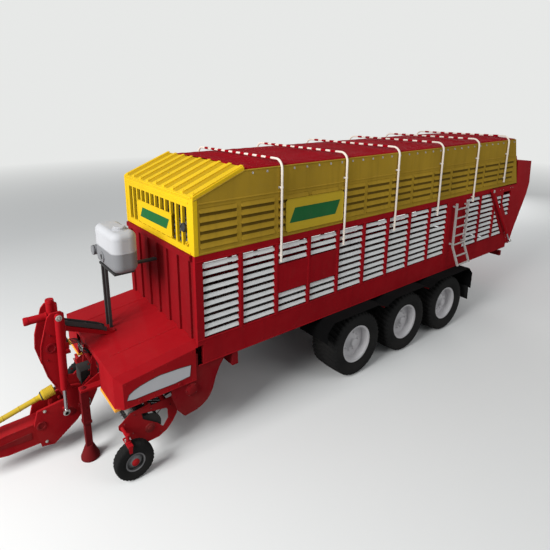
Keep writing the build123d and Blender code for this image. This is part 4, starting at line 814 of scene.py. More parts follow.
@dataclass
class Studio:
    """The plain floor, the soft lights and the camera."""

    camera_place: Point = (2.5837, 5.9324, 4.7311)
    camera_way: Point = (-0.5684, -0.7851, -0.2460)
    camera_roll: float = -0.0061
    lens: float = 29.15
    shift: Pair = (0.0455, -0.109)
    backdrop: Colour = (0.80, 0.81, 0.80)
    bounce: Colour = (0.30, 0.30, 0.30)
    daylight: Colour = (0.93, 0.96, 1.0)
    daylight_strength: float = 0.29
    floor_half: float = 60.0
    fade: Pair = (12.0, 34.0)
    aim: Point = (0, 0, 1.6)
    lights: tuple[tuple[str, Point, float, float], ...] = (
        ("key_light", (17.0, 2.5, 10.5), 8.0, 3650.0),
        ("fill_light", (-6.0, 15.0, 11.0), 9.0, 520.0),
        ("rear_light", (-15.0, -9.0, 5.0), 8.0, 1100.0),
    )

    def build(self) -> None:
        """Set up everything that isn't part of the wagon."""
        self.camera()
        self.world()
        self.floor()
        for light in self.lights:
            self.light(*light)
        bpy.context.scene.view_settings.view_transform = "Standard"

    def camera(self) -> None:
        """Place the camera where the photograph was taken from."""
        data = bpy.data.cameras.new("camera")
        data.sensor_fit = "HORIZONTAL"
        data.sensor_width = 36.0
        data.lens = self.lens
        data.shift_x, data.shift_y = self.shift
        data.clip_end = 300.0
        camera = link("camera", data)
        turn = Vector(self.camera_way).to_track_quat("-Z", "Y").to_matrix().to_4x4()
        camera.matrix_world = Matrix.Translation(at(*self.camera_place)) @ turn @ Matrix.Rotation(
            self.camera_roll, 4, "Z")
        bpy.context.scene.camera = camera

    def world(self) -> None:
        """Light the wagon evenly from all round, before a pale backdrop."""
        world = bpy.data.worlds.new("studio")
        world.use_nodes = True
        bpy.context.scene.world = world
        nodes, links = world.node_tree.nodes, world.node_tree.links
        seen = nodes["Background"]
        seen.inputs["Color"].default_value = (*self.backdrop, 1)
        seen.inputs["Strength"].default_value = 1.0
        cast = nodes.new("ShaderNodeBackground")
        cast.inputs["Color"].default_value = (*self.daylight, 1)
        cast.inputs["Strength"].default_value = self.daylight_strength
        rays = nodes.new("ShaderNodeLightPath").outputs
        looking = rays["Is Camera Ray"]
        for kind in ("Is Glossy Ray", "Is Transmission Ray"):
            either = nodes.new("ShaderNodeMath")
            either.operation = "MAXIMUM"
            links.new(looking, either.inputs[0])
            links.new(rays[kind], either.inputs[1])
            looking = either.outputs[0]
        mix = nodes.new("ShaderNodeMixShader")
        links.new(looking, mix.inputs[0])
        links.new(cast.outputs[0], mix.inputs[1])
        links.new(seen.outputs[0], mix.inputs[2])
        links.new(mix.outputs[0], nodes["World Output"].inputs["Surface"])

    def floor(self) -> None:
        """Lay the pale floor, which fades into the backdrop far from the wagon."""
        mesh = bpy.data.meshes.new("studio_floor")
        h = self.floor_half
        mesh.from_pydata([(-h, -h, 0), (h, -h, 0), (h, h, 0), (-h, h, 0)], [], [(0, 1, 2, 3)])
        floor = link("studio_floor", mesh)
        tree = Tree("studio_floor")
        seen = tree.add("ShaderNodeLightPath").outputs["Is Camera Ray"]
        tree.feed(tree.surface.inputs["Base Color"], tree.blend(seen, self.bounce, self.backdrop))
        tree.feed(tree.surface.inputs["Roughness"], 0.9)
        tree.feed(tree.surface.inputs["Specular IOR Level"], 0.0)
        far = tree.add("ShaderNodeVectorMath", {0: tree.point}, operation="LENGTH").outputs[1]
        glow = tree.add("ShaderNodeEmission", {"Color": (*self.backdrop, 1), "Strength": 1.0}).outputs[0]
        mix = tree.add("ShaderNodeMixShader", {0: tree.remap(far, *self.fade), 1: tree.surface.outputs[0], 2: glow})
        tree.feed(tree.tree.nodes["Material Output"].inputs["Surface"], mix.outputs[0])
        mesh.materials.append(tree.material)

    def light(self, name: str, place: Point, size: float, power: float) -> None:
        """Hang a large soft light that faces the wagon's middle.

        Args:
            name: The light's name.
            place: Where it hangs in the frame.
            size: The length of its side.
            power: Its power in watts.
        """
        data = bpy.data.lights.new(name, "AREA")
        data.shape = "SQUARE"
        data.size = size
        data.energy = power
        lamp = link(name, data)
        way = Vector(self.aim) - Vector(place)
        lamp.matrix_world = Matrix.Translation(place) @ way.to_track_quat("-Z", "Y").to_matrix().to_4x4()


@dataclass
class Tyre:
    """A tyre with lugs cut into its tread and a stepped wall."""

    radius: float
    width: float
    bead: float
    belly: float
    lugs: int
    lug_depth: float
    skew: float
    steps_per_lug: int = 6
    groove_share: float = 0.36
    rib: float = 0.10
    crown: float = 0.010
    columns: int = 12

    def profile(self) -> list[tuple[float, float, float]]:
        """Give the section as rows of radius, place across, and share of the lug depth cut there.

        Returns:
            The rows, from the outer bead over the tread to the inner bead.
        """
        half = self.width / 2
        rise = self.radius - self.bead
        wall = [
            (self.bead, half - self.belly, 0.0),
            (self.bead + 0.10 * rise, half - self.belly * 0.55, 0.0),
            (self.bead + 0.16 * rise, half - self.belly * 0.50, 0.0),
            (self.bead + 0.28 * rise, half - self.belly * 0.12, 0.0),
            (self.bead + 0.42 * rise, half - 0.002, 0.0),
            (self.bead + 0.56 * rise, half - 0.002, 0.0),
            (self.bead + 0.60 * rise, half - self.belly * 0.16, 0.0),
            (self.bead + 0.72 * rise, half - self.belly * 0.20, 0.0),
            (self.bead + 0.80 * rise, half - self.belly * 0.30, 0.25),
            (self.radius - 0.13 * rise, half - self.belly * 0.55, 0.7),
            (self.radius - 0.05 * rise, half - self.belly * 1.05, 1.0),
        ]
        tread_half = half - self.belly * 1.6
        places = [1 - 2 * i / self.columns for i in range(self.columns + 1)]
        tread = [(self.radius - self.crown * abs(place) ** 2.0, tread_half * place, 1.0) for place in places]
        return wall + tread + [(r, -y, cut) for r, y, cut in reversed(wall)]

    def groove(self, turn: float, across: float) -> float:
        """Say how deep the tread is cut at a place, from 0 to 1.

        Args:
            turn: How many lugs have passed round the tyre.
            across: Place across the tread, from -1 to 1.

        Returns:
            The share of the lug depth.
        """
        if abs(across) < self.rib:
            return 0.0
        side = 0.5 if across > 0 else 0.0
        phase = (turn + side + self.skew * abs(across)) % 1.0
        return 1.0 if phase < self.groove_share else 0.0

    def mesh(self, name: str) -> bpy.types.Mesh:
        """Make the tyre's mesh round the Y axis.

        Args:
            name: The mesh's name.

        Returns:
            The mesh.
        """
        section = self.profile()
        steps = self.lugs * self.steps_per_lug
        rows = []
        for i in range(steps):
            turn = 2 * pi * i / steps
            row = []
            for r, y, share in section:
                cut = share * self.groove(i / self.steps_per_lug, y / (self.width / 2)) * self.lug_depth
                row.append(Vector(((r - cut) * cos(turn), y, (r - cut) * sin(turn))))
            rows.append(row)
        shape = Mesh()
        shape.grid(rows, wrap=True)
        bmesh.ops.recalc_face_normals(shape.data, faces=shape.data.faces[:])
        mesh = bpy.data.meshes.new(name)
        shape.data.to_mesh(mesh)
        shape.data.free()
        mesh.materials.append(RUBBER.material())
        shade(mesh, 30.0)
        return mesh


@dataclass
class Wheels:
    """The six road wheels and the two gauge wheels: treaded tyres, hubs, nuts and valves."""

    nuts: int = 10
    nut_circle: float = 0.168
    nut_width: float = 0.034
    disc_share: float = 0.26

    def build(self) -> None:
        """Dress every wheel of the frame."""
        road = Tyre(radius=0.592, width=0.600, bead=0.345, belly=0.040, lugs=40, lug_depth=0.022, skew=0.9)
        gauge = Tyre(radius=0.262, width=0.150, bead=0.130, belly=0.014, lugs=30, lug_depth=0.006, skew=0.0,
                     steps_per_lug=4)
        road_mesh, gauge_mesh = road.mesh("road_tyre"), gauge.mesh("gauge_tyre")
        for side, sign in SIDES:
            for index in (1, 2, 3):
                self.tyre(f"tyre_{index}_{side}", road_mesh, f"wheel_{index}_{side}", sign)
                self.hub(f"rim_{index}_{side}", f"wheel_{index}_{side}", index, side, sign)
            self.tyre(f"gauge_tyre_{side}", gauge_mesh, f"gauge_wheel_{side}", sign)
            self.gauge_hub(side, sign)

    def tyre(self, node: str, mesh: bpy.types.Mesh, body: str, sign: int) -> None:
        """Put a treaded tyre in place of a plain one.

        Args:
            node: The plain tyre's node.
            mesh: The treaded tyre's mesh.
            body: The wheel's body.
            sign: 1 on the left, -1 on the right.
        """
        low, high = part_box(node)
        tyre = link(f"treaded_{node}", mesh)
        tyre.matrix_world = Matrix.Translation((low + high) / 2) @ Matrix.Rotation(pi if sign < 0 else 0, 4, "Z")
        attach(tyre, body)
        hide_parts(node)

    def hub(self, node: str, body: str, index: int, side: str, sign: int) -> None:
        """Add the hub cap, the wheel nuts and the valve to a road wheel.

        Args:
            node: The rim's node.
            body: The wheel's body.
            index: The axle's number.
            side: The side's name.
            sign: 1 on the left, -1 on the right.
        """
        low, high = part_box(node)
        centre = (low + high) / 2
        width = high.y - low.y
        disc = centre.y + sign * (width / 2 - self.disc_share * width)
        axis = Vector((0, sign, 0))
        face = Vector((centre.x, disc, centre.z))
        shape = Mesh()
        shape.turned(face, axis, [(0.020, 0), (0.020, 0.098), (0.036, 0.098), (0.042, 0.090), (0.044, 0.078),
                                  (0.078, 0.074), (0.088, 0.066), (0.092, 0.050), (0.092, 0)])
        for c, s in around(8, 0.5):
            shape.dome(face + Vector((0.087 * c, sign * 0.040, 0.087 * s)), axis, 0.007, 0.008)
        shape.piece(f"hub_cap_{index}_{side}", RIM_SHADED, body, bevel=0.001)
        nuts = Mesh()
        for c, s in around(self.nuts):
            place = face + Vector((self.nut_circle * c, -sign * 0.004, self.nut_circle * s))
            nuts.nut(place, axis, self.nut_width, 0.026)
        nuts.piece(f"wheel_nuts_{index}_{side}", RIM_SHADED, body)
        valve = Mesh()
        foot = face + Vector((0.28, -sign * 0.012, 0))
        valve.turned(foot, Vector((0.45, sign, 0)), [(0, 0), (0, 0.012), (0.012, 0.012), (0.015, 0.007),
                                                     (0.050, 0.007), (0.052, 0.009), (0.070, 0.009), (0.072, 0)], 12)
        valve.piece(f"valve_{index}_{side}", BLACK, body)

    def gauge_hub(self, side: str, sign: int) -> None:
        """Add the red hub and the nut of a gauge wheel.

        Args:
            side: The side's name.
            sign: 1 on the left, -1 on the right.
        """
        low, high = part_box(f"gauge_rim_{side}")
        centre = (low + high) / 2
        width = high.y - low.y
        face = Vector((centre.x, centre.y + sign * (width / 2 - self.disc_share * width + 0.028), centre.z))
        axis = Vector((0, sign, 0))
        shape = Mesh()
        shape.turned(face, axis, [(0, 0), (0, 0.050), (0.008, 0.050), (0.014, 0.040), (0.022, 0.036), (0.026, 0.028),
                                  (0.026, 0)], 24)
        for c, s in around(5):
            shape.dome(face + Vector((0.043 * c, sign * 0.010, 0.043 * s)), axis, 0.005, 0.006)
        shape.piece(f"gauge_hub_{side}", RED, f"gauge_wheel_{side}")


@dataclass
class RoofCloth:
    """The red roof cloth, stretched over the load space, with sleeves that hold it to the hoops."""

    front: float = -0.780
    rear: float = -8.455
    half: float = 1.112
    edge_height: float = 3.874
    crown: float = 0.048
    sag: float = 0.016
    hoop_height: float = 3.955
    sleeves: int = 9
    turn_down: float = 0.012
    thickness: float = 0.003
    rows: int = 192
    columns: int = 60

    def top(self, x: float, y: float) -> float:
        """Give the cloth's height at a place.

        Args:
            x: How far forward of the front wall it is.
            y: How far left of the middle it is.

        Returns:
            The height.
        """
        stations = (self.front, *HOOPS, self.rear)
        front = min((s for s in stations if s >= x), default=self.front)
        rear = max((s for s in stations if s < x), default=self.rear)
        along = (front - x) / (front - rear) if front > rear else 0.0
        share = y / self.half
        dip = self.sag * sin(pi * along) ** 2 * (1 - share ** 4)
        ripple = 0.004 * sin(23 * x + 6 * share) * sin(pi * along) * abs(share) ** 3
        return self.edge_height + self.crown * (1 - share * share) - dip + ripple

    def build(self) -> None:
        """Lay the cloth, its hem and its sleeves."""
        length = self.front - self.rear
        rows = []
        across = [self.half * (2 * j / self.columns - 1) for j in range(self.columns + 1)]
        edge, low = self.half + self.turn_down, self.edge_height - self.turn_down
        for i in range(self.rows + 1):
            x = self.front - length * i / self.rows
            rows.append([at(x, -edge, low), *[at(x, y, self.top(x, y)) for y in across], at(x, edge, low)])
        shape = Mesh()
        shape.grid(rows)
        cloth = shape.piece("roof_cloth", CLOTH, smooth=60.0)
        thicken(cloth, self.thickness)
        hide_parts("roof_cover")
        sleeves = self.sleeve_piece()
        hem = self.hem_piece()

    def sleeve_piece(self) -> bpy.types.Object:
        """Make the short cloth sleeves round the hoops.

        Returns:
            The piece.
        """
        shape = Mesh()
        span = 2 * (self.half - 0.13)
        pitch = span / self.sleeves
        for x in HOOPS:
            for i in range(self.sleeves):
                start = -span / 2 + pitch * (i + 0.25)
                path = [at(x, start + pitch * 0.5 * k / 4, self.hoop_height - 0.001) for k in range(5)]
                shape.tube(path, lambda share: HOOP_RADIUS + 0.0035 + 0.002 * sin(pi * share), 16)
        return shape.piece("hoop_sleeves", CLOTH)

    def hem_piece(self) -> bpy.types.Object:
        """Make the rolled hem along both long edges.

        Returns:
            The piece.
        """
        shape = Mesh()
        steps = self.rows // 2
        path = [at(self.front - 0.01 - (self.front - self.rear - 0.02) * i / steps, self.half + 0.010,
                   self.edge_height - 0.008) for i in range(steps + 1)]
        shape.tube(path, 0.007, 8)
        return shape.both_sides("cloth_hem", CLOTH)


@dataclass
class SideTrim:
    """Pressed posts, rails, bolts and lips of the two side walls."""

    ribs: int = 11
    low: float = 1.235
    slat_low: float = 1.612
    slat_high: float = 2.708
    band_bolts: int = 26
    band_pitch: float = 0.325
    band_heights: Pair = (1.55, 1.29)

    def build(self) -> None:
        """Add the trim of both walls."""
        self.posts()
        self.rails()
        self.bolts()

    def post_places(self) -> list[float]:
        """Give the middles of the posts that have a rib."""
        gap = BAY_PITCH - BAY_WIDTH
        return [-(FIRST_BAY + i * BAY_PITCH + BAY_WIDTH + gap / 2) for i in range(self.ribs)]

    def posts(self) -> None:
        """Add a pressed rib on each post."""
        shape = Mesh()
        top = self.slat_high + 0.02
        foot = self.slat_low - 0.02
        for x in self.post_places():
            outline = [at(x - 0.024, HALF - 0.001, foot), at(x - 0.016, HALF + 0.007, foot),
                       at(x + 0.016, HALF + 0.007, foot), at(x + 0.024, HALF - 0.001, foot)]
            shape.prism(outline, Vector((0, 0, top - foot)))
        shape.both_sides("post_ribs", SIDE_RED, bevel=0.002)

    def rails(self) -> None:
        """Add the folded lips along the band under and over the slats."""
        shape = Mesh()
        for z, end in ((self.slat_low - 0.014, -8.42), (self.slat_high + 0.010, -7.66), (self.low + 0.002, -8.60)):
            profile = [at(-0.002, HALF - 0.001, z), at(-0.002, HALF + 0.006, z + 0.004),
                       at(-0.002, HALF + 0.006, z + 0.012), at(-0.002, HALF - 0.001, z + 0.016)]
            shape.prism(profile, Vector((end, 0, 0)))
        shape.both_sides("wall_lips", SIDE_RED, bevel=0.0015)

    def bolts(self) -> None:
        """Add the bolt heads on the posts and along the lower band."""
        shape = Mesh()
        for x in self.post_places():
            for z in (1.66, 1.93, 2.20, 2.47, 2.67):
                shape.dome(at(x, HALF + 0.007, z), OUT, 0.009, 0.007)
        for i in range(self.band_bolts):
            x = -0.12 - i * self.band_pitch
            for z in self.band_heights:
                shape.dome(at(x, HALF, z), OUT, 0.010, 0.007)
            if x > -7.6:
                shape.dome(at(x, HALF, 2.765), OUT, 0.008, 0.006)
        shape.both_sides("wall_bolts", SIDE_RED)


@dataclass
class UpperTrim:
    """Trim of the yellow upper body: blank signs, mouldings, wire screen, lamp, painted shade strips on the front roof
    and cloth hooks.
    """

    foot: float = 2.814
    top: float = 3.863
    front_top: float = 3.547
    slope: float = 0.790
    sign_x: Pair = (-2.713, -1.512)
    sign_z: Pair = (2.877, 3.361)
    front_sign_y: Pair = (-0.600, 0.560)
    front_sign_z: Pair = (2.930, 3.270)
    head: float = 0.383
    louvre_out: float = 0.014
    ribs: int = 9
    rib_margin: float = 0.120
    groove_shade_width: float = 0.105
    # Width of each painted shade strip beside a rib of the front roof.
    screen_pitch: float = 0.016
    hooks: int = 31
    hook_pitch: float = 0.2475

    def build(self) -> None:
        """Add the upper body's trim."""
        self.side_signs()
        self.front_sign()
        self.mouldings()
        self.screen()
        self.front_lamps()
        self.roof_edges()
        self.louvre_shade_strips()
        self.cloth_hooks()

    def sign(self, origin: Vector, along: Vector, out: Vector, size: Pair, names: tuple[str, str],
             finish: Finish) -> None:
        """Add a blank sign with a folded rim and a plain green band across it.

        Args:
            origin: The sign's lower corner, on what carries it.
            along: The direction of its lower edge.
            out: The direction that it faces.
            size: Its length and height.
            names: The names of the plate and of the band.
            finish: What the plate wears.
        """
        long, high = size
        plate = Mesh()
        corner = 0.03
        outline = [(corner, 0), (long - corner, 0), (long, corner), (long, high - corner), (long - corner, high),
                   (corner, high), (0, high - corner), (0, corner)]
        plate.prism([origin + along * a + UP * b for a, b in outline], out * 0.0030)
        rim = [origin + along * a + UP * b + out * 0.0036 for a, b in outline]
        plate.tube(rim, 0.0042, 8, closed=True)
        for a in (0.09, long / 2, long - 0.09):
            for b in (0.022, high - 0.022):
                plate.dome(origin + along * a + UP * b + out * 0.003, out, 0.007, 0.0035)
        plate.piece(names[0], finish, bevel=0.0006)
        band = Mesh()
        low, tall = 0.26 * high, 0.46 * high
        left, right, slant = 0.06 * long, 0.94 * long, 0.10
        points = [(left, low), (right - slant, low), (right, low + tall), (left + slant, low + tall)]
        band.prism([origin + along * a + UP * b + out * 0.0030 for a, b in points], out * 0.0006)
        band.piece(names[1], SIGN_GREEN)

    def side_signs(self) -> None:
        """Hang the blank signs on both sides, on the louvres between the first two hoops."""
        size = (self.sign_x[1] - self.sign_x[0], self.sign_z[1] - self.sign_z[0])
        for side, sign in SIDES:
            start = self.sign_x[0] if sign < 0 else self.sign_x[1]
            origin = at(start, sign * (HALF + self.louvre_out), self.sign_z[0])
            self.sign(origin, Vector((-sign, 0, 0)), Vector((0, sign, 0)), size,
                      (f"side_sign_{side}", f"side_band_{side}"), SIGN_YELLOW)

    def front_sign(self) -> None:
        """Add the blank sign on the front."""
        low, high = self.front_sign_y
        size = (high - low, self.front_sign_z[1] - self.front_sign_z[0])
        self.sign(at(0.012, low, self.front_sign_z[0]), OUT, AHEAD, size, ("front_sign", "front_band"), YELLOW)

    def mouldings(self) -> None:
        """Add the folded corner strips, foot strips and edge rolls."""
        shape = Mesh()
        wide, thick = 0.060, 0.004
        corner = [at(-wide, HALF, self.foot), at(-wide, HALF + thick, self.foot), at(thick, HALF + thick, self.foot),
                  at(thick, HALF - wide, self.foot), at(0, HALF - wide, self.foot), at(0, HALF, self.foot)]
        shape.prism(corner, Vector((0, 0, self.front_top - self.foot + 0.02)))
        for z in (self.foot + 0.12, self.foot + 0.36, self.foot + 0.60):
            shape.dome(at(thick, HALF - 0.03, z), AHEAD, 0.008, 0.005)
            shape.dome(at(-0.03, HALF + thick, z), OUT, 0.008, 0.005)
        shape.mirror()
        shape.block(at(0.0, -1.02, self.front_top - 0.062), at(0.006, 1.02, self.front_top - 0.036))
        shape.block(at(0.0, -1.05, self.foot + 0.004), at(0.008, 1.05, self.foot + 0.032))
        shape.piece("front_mouldings", YELLOW, bevel=0.001)
        lips = Mesh()
        foot_lip = [at(-0.07, HALF, self.foot + 0.002), at(-0.07, HALF + 0.007, self.foot + 0.004),
                    at(-0.07, HALF + 0.007, self.foot + 0.022), at(-0.07, HALF, self.foot + 0.030)]
        lips.prism(foot_lip, Vector((-8.55, 0, 0)))
        head = self.top - self.head
        head_lip = [at(-0.07, HALF, head), at(-0.07, HALF + 0.008, head + 0.004), at(-0.07, HALF + 0.008, head + 0.016),
                    at(-0.07, HALF, head + 0.024)]
        lips.prism(head_lip, Vector((-8.42, 0, 0)))
        edge = [at(-0.012, HALF - 0.001, self.front_top - 0.006), at(-self.slope, HALF - 0.001, self.top - 0.010),
                at(-8.440, HALF - 0.001, self.top - 0.010)]
        lips.tube(edge, 0.009, 10)
        lips.both_sides("side_lips", SIDE_YELLOW_SHADED, bevel=0.0008)

    def screen(self) -> None:
        """Stretch the dark wire screen behind the openings of the front."""
        shape = Mesh()
        low, high, half = self.foot + 0.075, self.front_top - 0.095, 1.005
        back, front = -0.0460, -0.0415
        wires = int(2 * half / self.screen_pitch)
        for i in range(wires + 1):
            y = -half + i * self.screen_pitch
            shape.block(at(back, y - 0.003, low), at(back + 0.0025, y + 0.003, high))
        for i in range(int((high - low) / self.screen_pitch) + 1):
            z = low + i * self.screen_pitch
            shape.block(at(back + 0.002, -half, z - 0.003), at(front, half, z + 0.003))
        shape.piece("front_screen", MESH_BLACK)

    def front_lamps(self) -> None:
        """Add the round black lamp and the lifting ring by the front's left edge."""
        lamp = Mesh()
        lamp.turned(at(0.0, 0.922, 3.161), AHEAD, [(0, 0.050), (0.012, 0.060), (0.030, 0.062), (0.040, 0.058),
                                                   (0.042, 0.050), (0.034, 0.046), (0.032, 0)], 32)
        lamp.piece("marker_lamp", BLACK, bevel=0.0008)
        ring = Mesh()
        ring.turned(at(0.0, 0.985, 2.952), AHEAD, [(0, 0.030), (0.006, 0.034), (0.010, 0.030), (0.010, 0)], 24)
        ring.tube([at(0.022, 0.985 + 0.026 * c, 2.952 + 0.026 * s) for c, s in around(20)], 0.0055, 8, closed=True)
        ring.block(at(0.008, 0.975, 2.972), at(0.020, 0.995, 2.984))
        ring.piece("lashing_ring", YELLOW)

    def rib_y(self, index: int) -> float:
        """Give how far left of the middle a rib of the front roof stands."""
        return (index - (self.ribs - 1) / 2) * (2 * HALF - self.rib_margin) / (self.ribs - 1)

    def roof_edges(self) -> None:
        """Add the rivets of the front roof's ribs, darker strips of painted shade beside them, and the rolls along its
        edges.
        """
        shape = Mesh()
        rise = self.top - self.front_top
        normal = Vector((rise, 0, self.slope)).normalized()
        for i in range(self.ribs):
            for share in (0.06, 0.50, 0.95):
                z = self.front_top + 0.040 + rise * share + 0.028 - 0.010 * share
                shape.dome(at(-self.slope * share, self.rib_y(i), z - 0.002), normal, 0.008, 0.005)
        shape.piece("roof_rivets", YELLOW)
        # Painted shade: darker strips laid in the grooves on one side of each rib.
        groove_shade = Mesh()
        thick = normal * 0.0015
        for i in range(self.ribs - 1):
            y = self.rib_y(i) + 0.0355
            ends = [at(-0.022, 0, self.front_top + 0.0405 + rise * 0.022 / self.slope),
                    at(-self.slope + 0.004, 0, self.top + 0.0385)]
            low, high = Vector((0, y, 0)), Vector((0, y + self.groove_shade_width, 0))
            groove_shade.prism([ends[0] + low, ends[0] + high, ends[1] + high, ends[1] + low], thick)
        groove_shade.piece("roof_groove_shade_strips", ROOF_GROOVE_SHADE)
        drip = Mesh()
        drip.tube([at(0.002, -1.125, self.front_top + 0.030), at(0.002, 1.125, self.front_top + 0.030)], 0.011, 12)
        for sign in (1, -1):
            drip.tube([at(-0.010, sign * 1.138, self.front_top + 0.040),
                       at(-self.slope + 0.01, sign * 1.138, self.top + 0.040)], 0.010, 10)
        drip.piece("roof_edge_rolls", YELLOW)

    def louvre_shade_strips(self) -> None:
        """Add dark strips on the recessed wall under every louvre: painted shade, where the louvres shade the wall."""
        shape = Mesh()
        rows, margin, shift, rear = 5, 0.076, 0.020, -8.480
        step = (self.top - self.head - self.foot - margin) / rows
        fronts = [-(FIRST_BAY + i * BAY_PITCH) + shift for i in range(BAYS)]
        bays = [(front - BAY_WIDTH, BAY_WIDTH) for front in fronts[:-1]] + [(rear, fronts[-1] - rear)]
        for back, width in bays:
            for row in range(rows):
                z = self.foot + margin + row * step
                shape.block(at(back + 0.001, HALF - 0.0085, z - (0.040 if row else 0.0)),
                            at(back + width - 0.001, HALF - 0.0068, z + 0.024))
        shape.both_sides("louvre_shade_strips", LOUVRE_SHADE)

    def cloth_hooks(self) -> None:
        """Add the row of small hooks that the roof cloth is laced to."""
        shape = Mesh()
        z = self.top - 0.052
        for i in range(self.hooks):
            x = -0.93 - i * self.hook_pitch
            shape.block(at(x - 0.012, HALF - 0.001, z - 0.016), at(x + 0.012, HALF + 0.003, z + 0.016))
            shape.tube([at(x, HALF + 0.002, z + 0.008), at(x, HALF + 0.016, z + 0.004), at(x, HALF + 0.018, z - 0.008),
                        at(x, HALF + 0.012, z - 0.016)], 0.0035, 8)
        shape.both_sides("cloth_hooks", ZINC)


@dataclass
class HoopTrim:
    """Feet of the roof hoops: the straps that hold them to the wall, with their nuts."""

    feet: tuple[float, ...] = (2.449, 2.452, 2.461, 2.532, 2.635, 2.919)
    out: float = 0.0313

    def build(self) -> None:
        """Add the straps and the end caps of every hoop."""
        straps = Mesh()
        nuts = Mesh()
        for x, foot in zip(HOOPS, self.feet):
            for z in (foot + 0.10, 3.56):
                self.strap(straps, nuts, x, z)
            straps.turned(at(x, HALF + self.out, foot - 0.004), UP,
                          [(0, 0), (0, HOOP_RADIUS + 0.002), (0.022, HOOP_RADIUS + 0.002), (0.024, HOOP_RADIUS)], 20)
        straps.both_sides("hoop_straps", HOOP_WHITE, bevel=0.0006)
        nuts.both_sides("hoop_nuts", BOLT)

    def strap(self, straps: Mesh, nuts: Mesh, x: float, z: float) -> None:
        """Bend one strap over a hoop, down to the wall on both sides of it.

        Args:
            straps: The mesh that takes the strap.
            nuts: The mesh that takes its two nuts.
            x: Where the hoop stands.
            z: The strap's height.
        """
        r = HOOP_RADIUS + 0.0025
        turn = [at(x + r * cos(pi * i / 8), HALF + self.out + r * sin(pi * i / 8), z) for i in range(9)]
        path = [at(x + 0.042, HALF + 0.0015, z), at(x + r + 0.002, HALF + 0.0015, z), *turn,
                at(x - r - 0.002, HALF + 0.0015, z), at(x - 0.042, HALF + 0.0015, z)]
        rows = [[p + Vector((0, 0, dz)) for p in path] for dz in (-0.014, 0.014)]
        outer = [[p + Vector((0, 0.003, 0)) for p in row] for row in rows]
        straps.grid([rows[0], outer[0], outer[1], rows[1]], wrap=True)
        for side in (-1, 1):
            nuts.nut(at(x + side * 0.033, HALF + 0.004, z), OUT, 0.013, 0.008)


@dataclass
class HoodTrim:
    """Trim of the hood: the blank silver plates, the folds, bolts and latches, and the curtain in the intake."""

    plate: Line = ((1.022, 1.144), (0.991, 1.216), (0.920, 1.255), (0.843, 1.282), (0.710, 1.310), (0.568, 1.328),
                   (0.283, 1.318), (0.118, 1.301), (0.140, 1.141), (0.366, 1.122), (0.719, 1.127), (0.921, 1.124))
    front: float = 1.150
    rear_top: float = 1.611
    front_top: float = 1.470
    foot: float = 1.030
    bevel: float = 0.090
    strips: int = 13
    strip_top: float = 1.398
    strip_length: float = 0.255
    window: float = 1.03

    def build(self) -> None:
        """Add the hood's trim."""
        self.blank_plates()
        self.folds()
        self.fasteners()
        self.curtain()
        self.latches()

    def height(self, x: float) -> float:
        """Give the height of the hood's top at a place along it."""
        return self.rear_top + (self.front_top - self.rear_top) * x / self.front

    def blank_plates(self) -> None:
        """Add the blank silver plates on both cheeks of the hood."""
        shape = Mesh()
        shape.prism(drawn(HALF - 0.0005, self.plate), OUT * 0.0035)
        shape.both_sides("hood_plates", PLATE, bevel=0.0012)
        rims = Mesh()
        rims.tube(drawn(HALF + 0.0022, self.plate), 0.0038, 8, closed=True)
        rims.both_sides("hood_plate_rims", BLACK)

    def folds(self) -> None:
        """Add the rolled lower edges and the pressed lines on the top."""
        shape = Mesh()
        low = self.foot + 0.006
        side = [at(0.045, HALF - 0.004, self.foot + 0.014), at(self.front - self.bevel, HALF - 0.004, low)]
        front = [at(self.front - 0.004, HALF - self.bevel, low), at(self.front - 0.004, 0.525, low)]
        shape.tube(side, 0.0085, 10)
        shape.tube([side[-1], front[0]], 0.0085, 10)
        shape.tube(front, 0.0085, 10)
        shape.mirror()
        window = [at(self.front - 0.003, 0.527, self.foot + 0.01), at(self.front - 0.003, 0.527, 1.402),
                  at(self.front - 0.003, -0.527, 1.402), at(self.front - 0.003, -0.527, self.foot + 0.01)]
        shape.tube(window, 0.008, 10)
        for y in (0.60, -0.60):
            shape.tube([at(x, y, self.height(x) + 0.0005) for x in (0.06, self.front - 0.13)], 0.006, 8)
        shape.piece("hood_folds", RED)

    def fasteners(self) -> None:
        """Add the bolts along the hood's rear edge, its cheeks and its front."""
        shape = Mesh()
        for i in range(6):
            x = 0.10 + i * 0.185
            shape.dome(at(x, HALF, self.height(x) - self.bevel - 0.028), OUT, 0.009, 0.006)
            shape.dome(at(x, HALF, self.foot + 0.040), OUT, 0.009, 0.006)
        for z in (1.12, 1.24, 1.33):
            shape.dome(at(self.front, 0.60, z), AHEAD, 0.009, 0.006)
            shape.dome(at(self.front, 1.02, z), AHEAD, 0.009, 0.006)
        for i in range(8):
            y = 0.10 + i * 0.135
            shape.dome(at(0.030, y, self.height(0.030)), Vector((0.12, 0, 1)), 0.008, 0.005)
        shape.both_sides("hood_bolts", RED)

    def curtain(self) -> None:
        """Hang the black rubber strips inside the intake window."""
        shape = Mesh()
        pitch = self.window / self.strips
        for i in range(self.strips):
            y = -self.window / 2 + (i + 0.5) * pitch
            sway = 0.004 * sin(2.3 * i)
            rows = []
            for k in range(9):
                z = self.strip_top - self.strip_length * k / 8
                x = self.front - 0.050 - sway * k / 8
                rows.append([at(x + bend, y + across * pitch * 0.485, z)
                             for across, bend in ((-1, -0.002), (-0.4, 0.001), (0.4, 0.001), (1, -0.002))])
            shape.grid(rows)
        thicken(shape.piece("intake_curtain", RUBBER, smooth=60.0), 0.004)

    def latches(self) -> None:
        """Add the two toggle latches on each cheek's lower edge."""
        shape = Mesh()
        for x in (0.30, 0.86):
            shape.block(at(x - 0.018, HALF, self.foot + 0.030), at(x + 0.018, HALF + 0.010, self.foot + 0.075))
            shape.tube([at(x - 0.012, HALF + 0.012, self.foot + 0.070), at(x - 0.012, HALF + 0.016, self.foot + 0.020),
                        at(x + 0.012, HALF + 0.016, self.foot + 0.020), at(x + 0.012, HALF + 0.012, self.foot + 0.070)],
                       0.003, 8)
        shape.both_sides("hood_latches", RED, bevel=0.001)


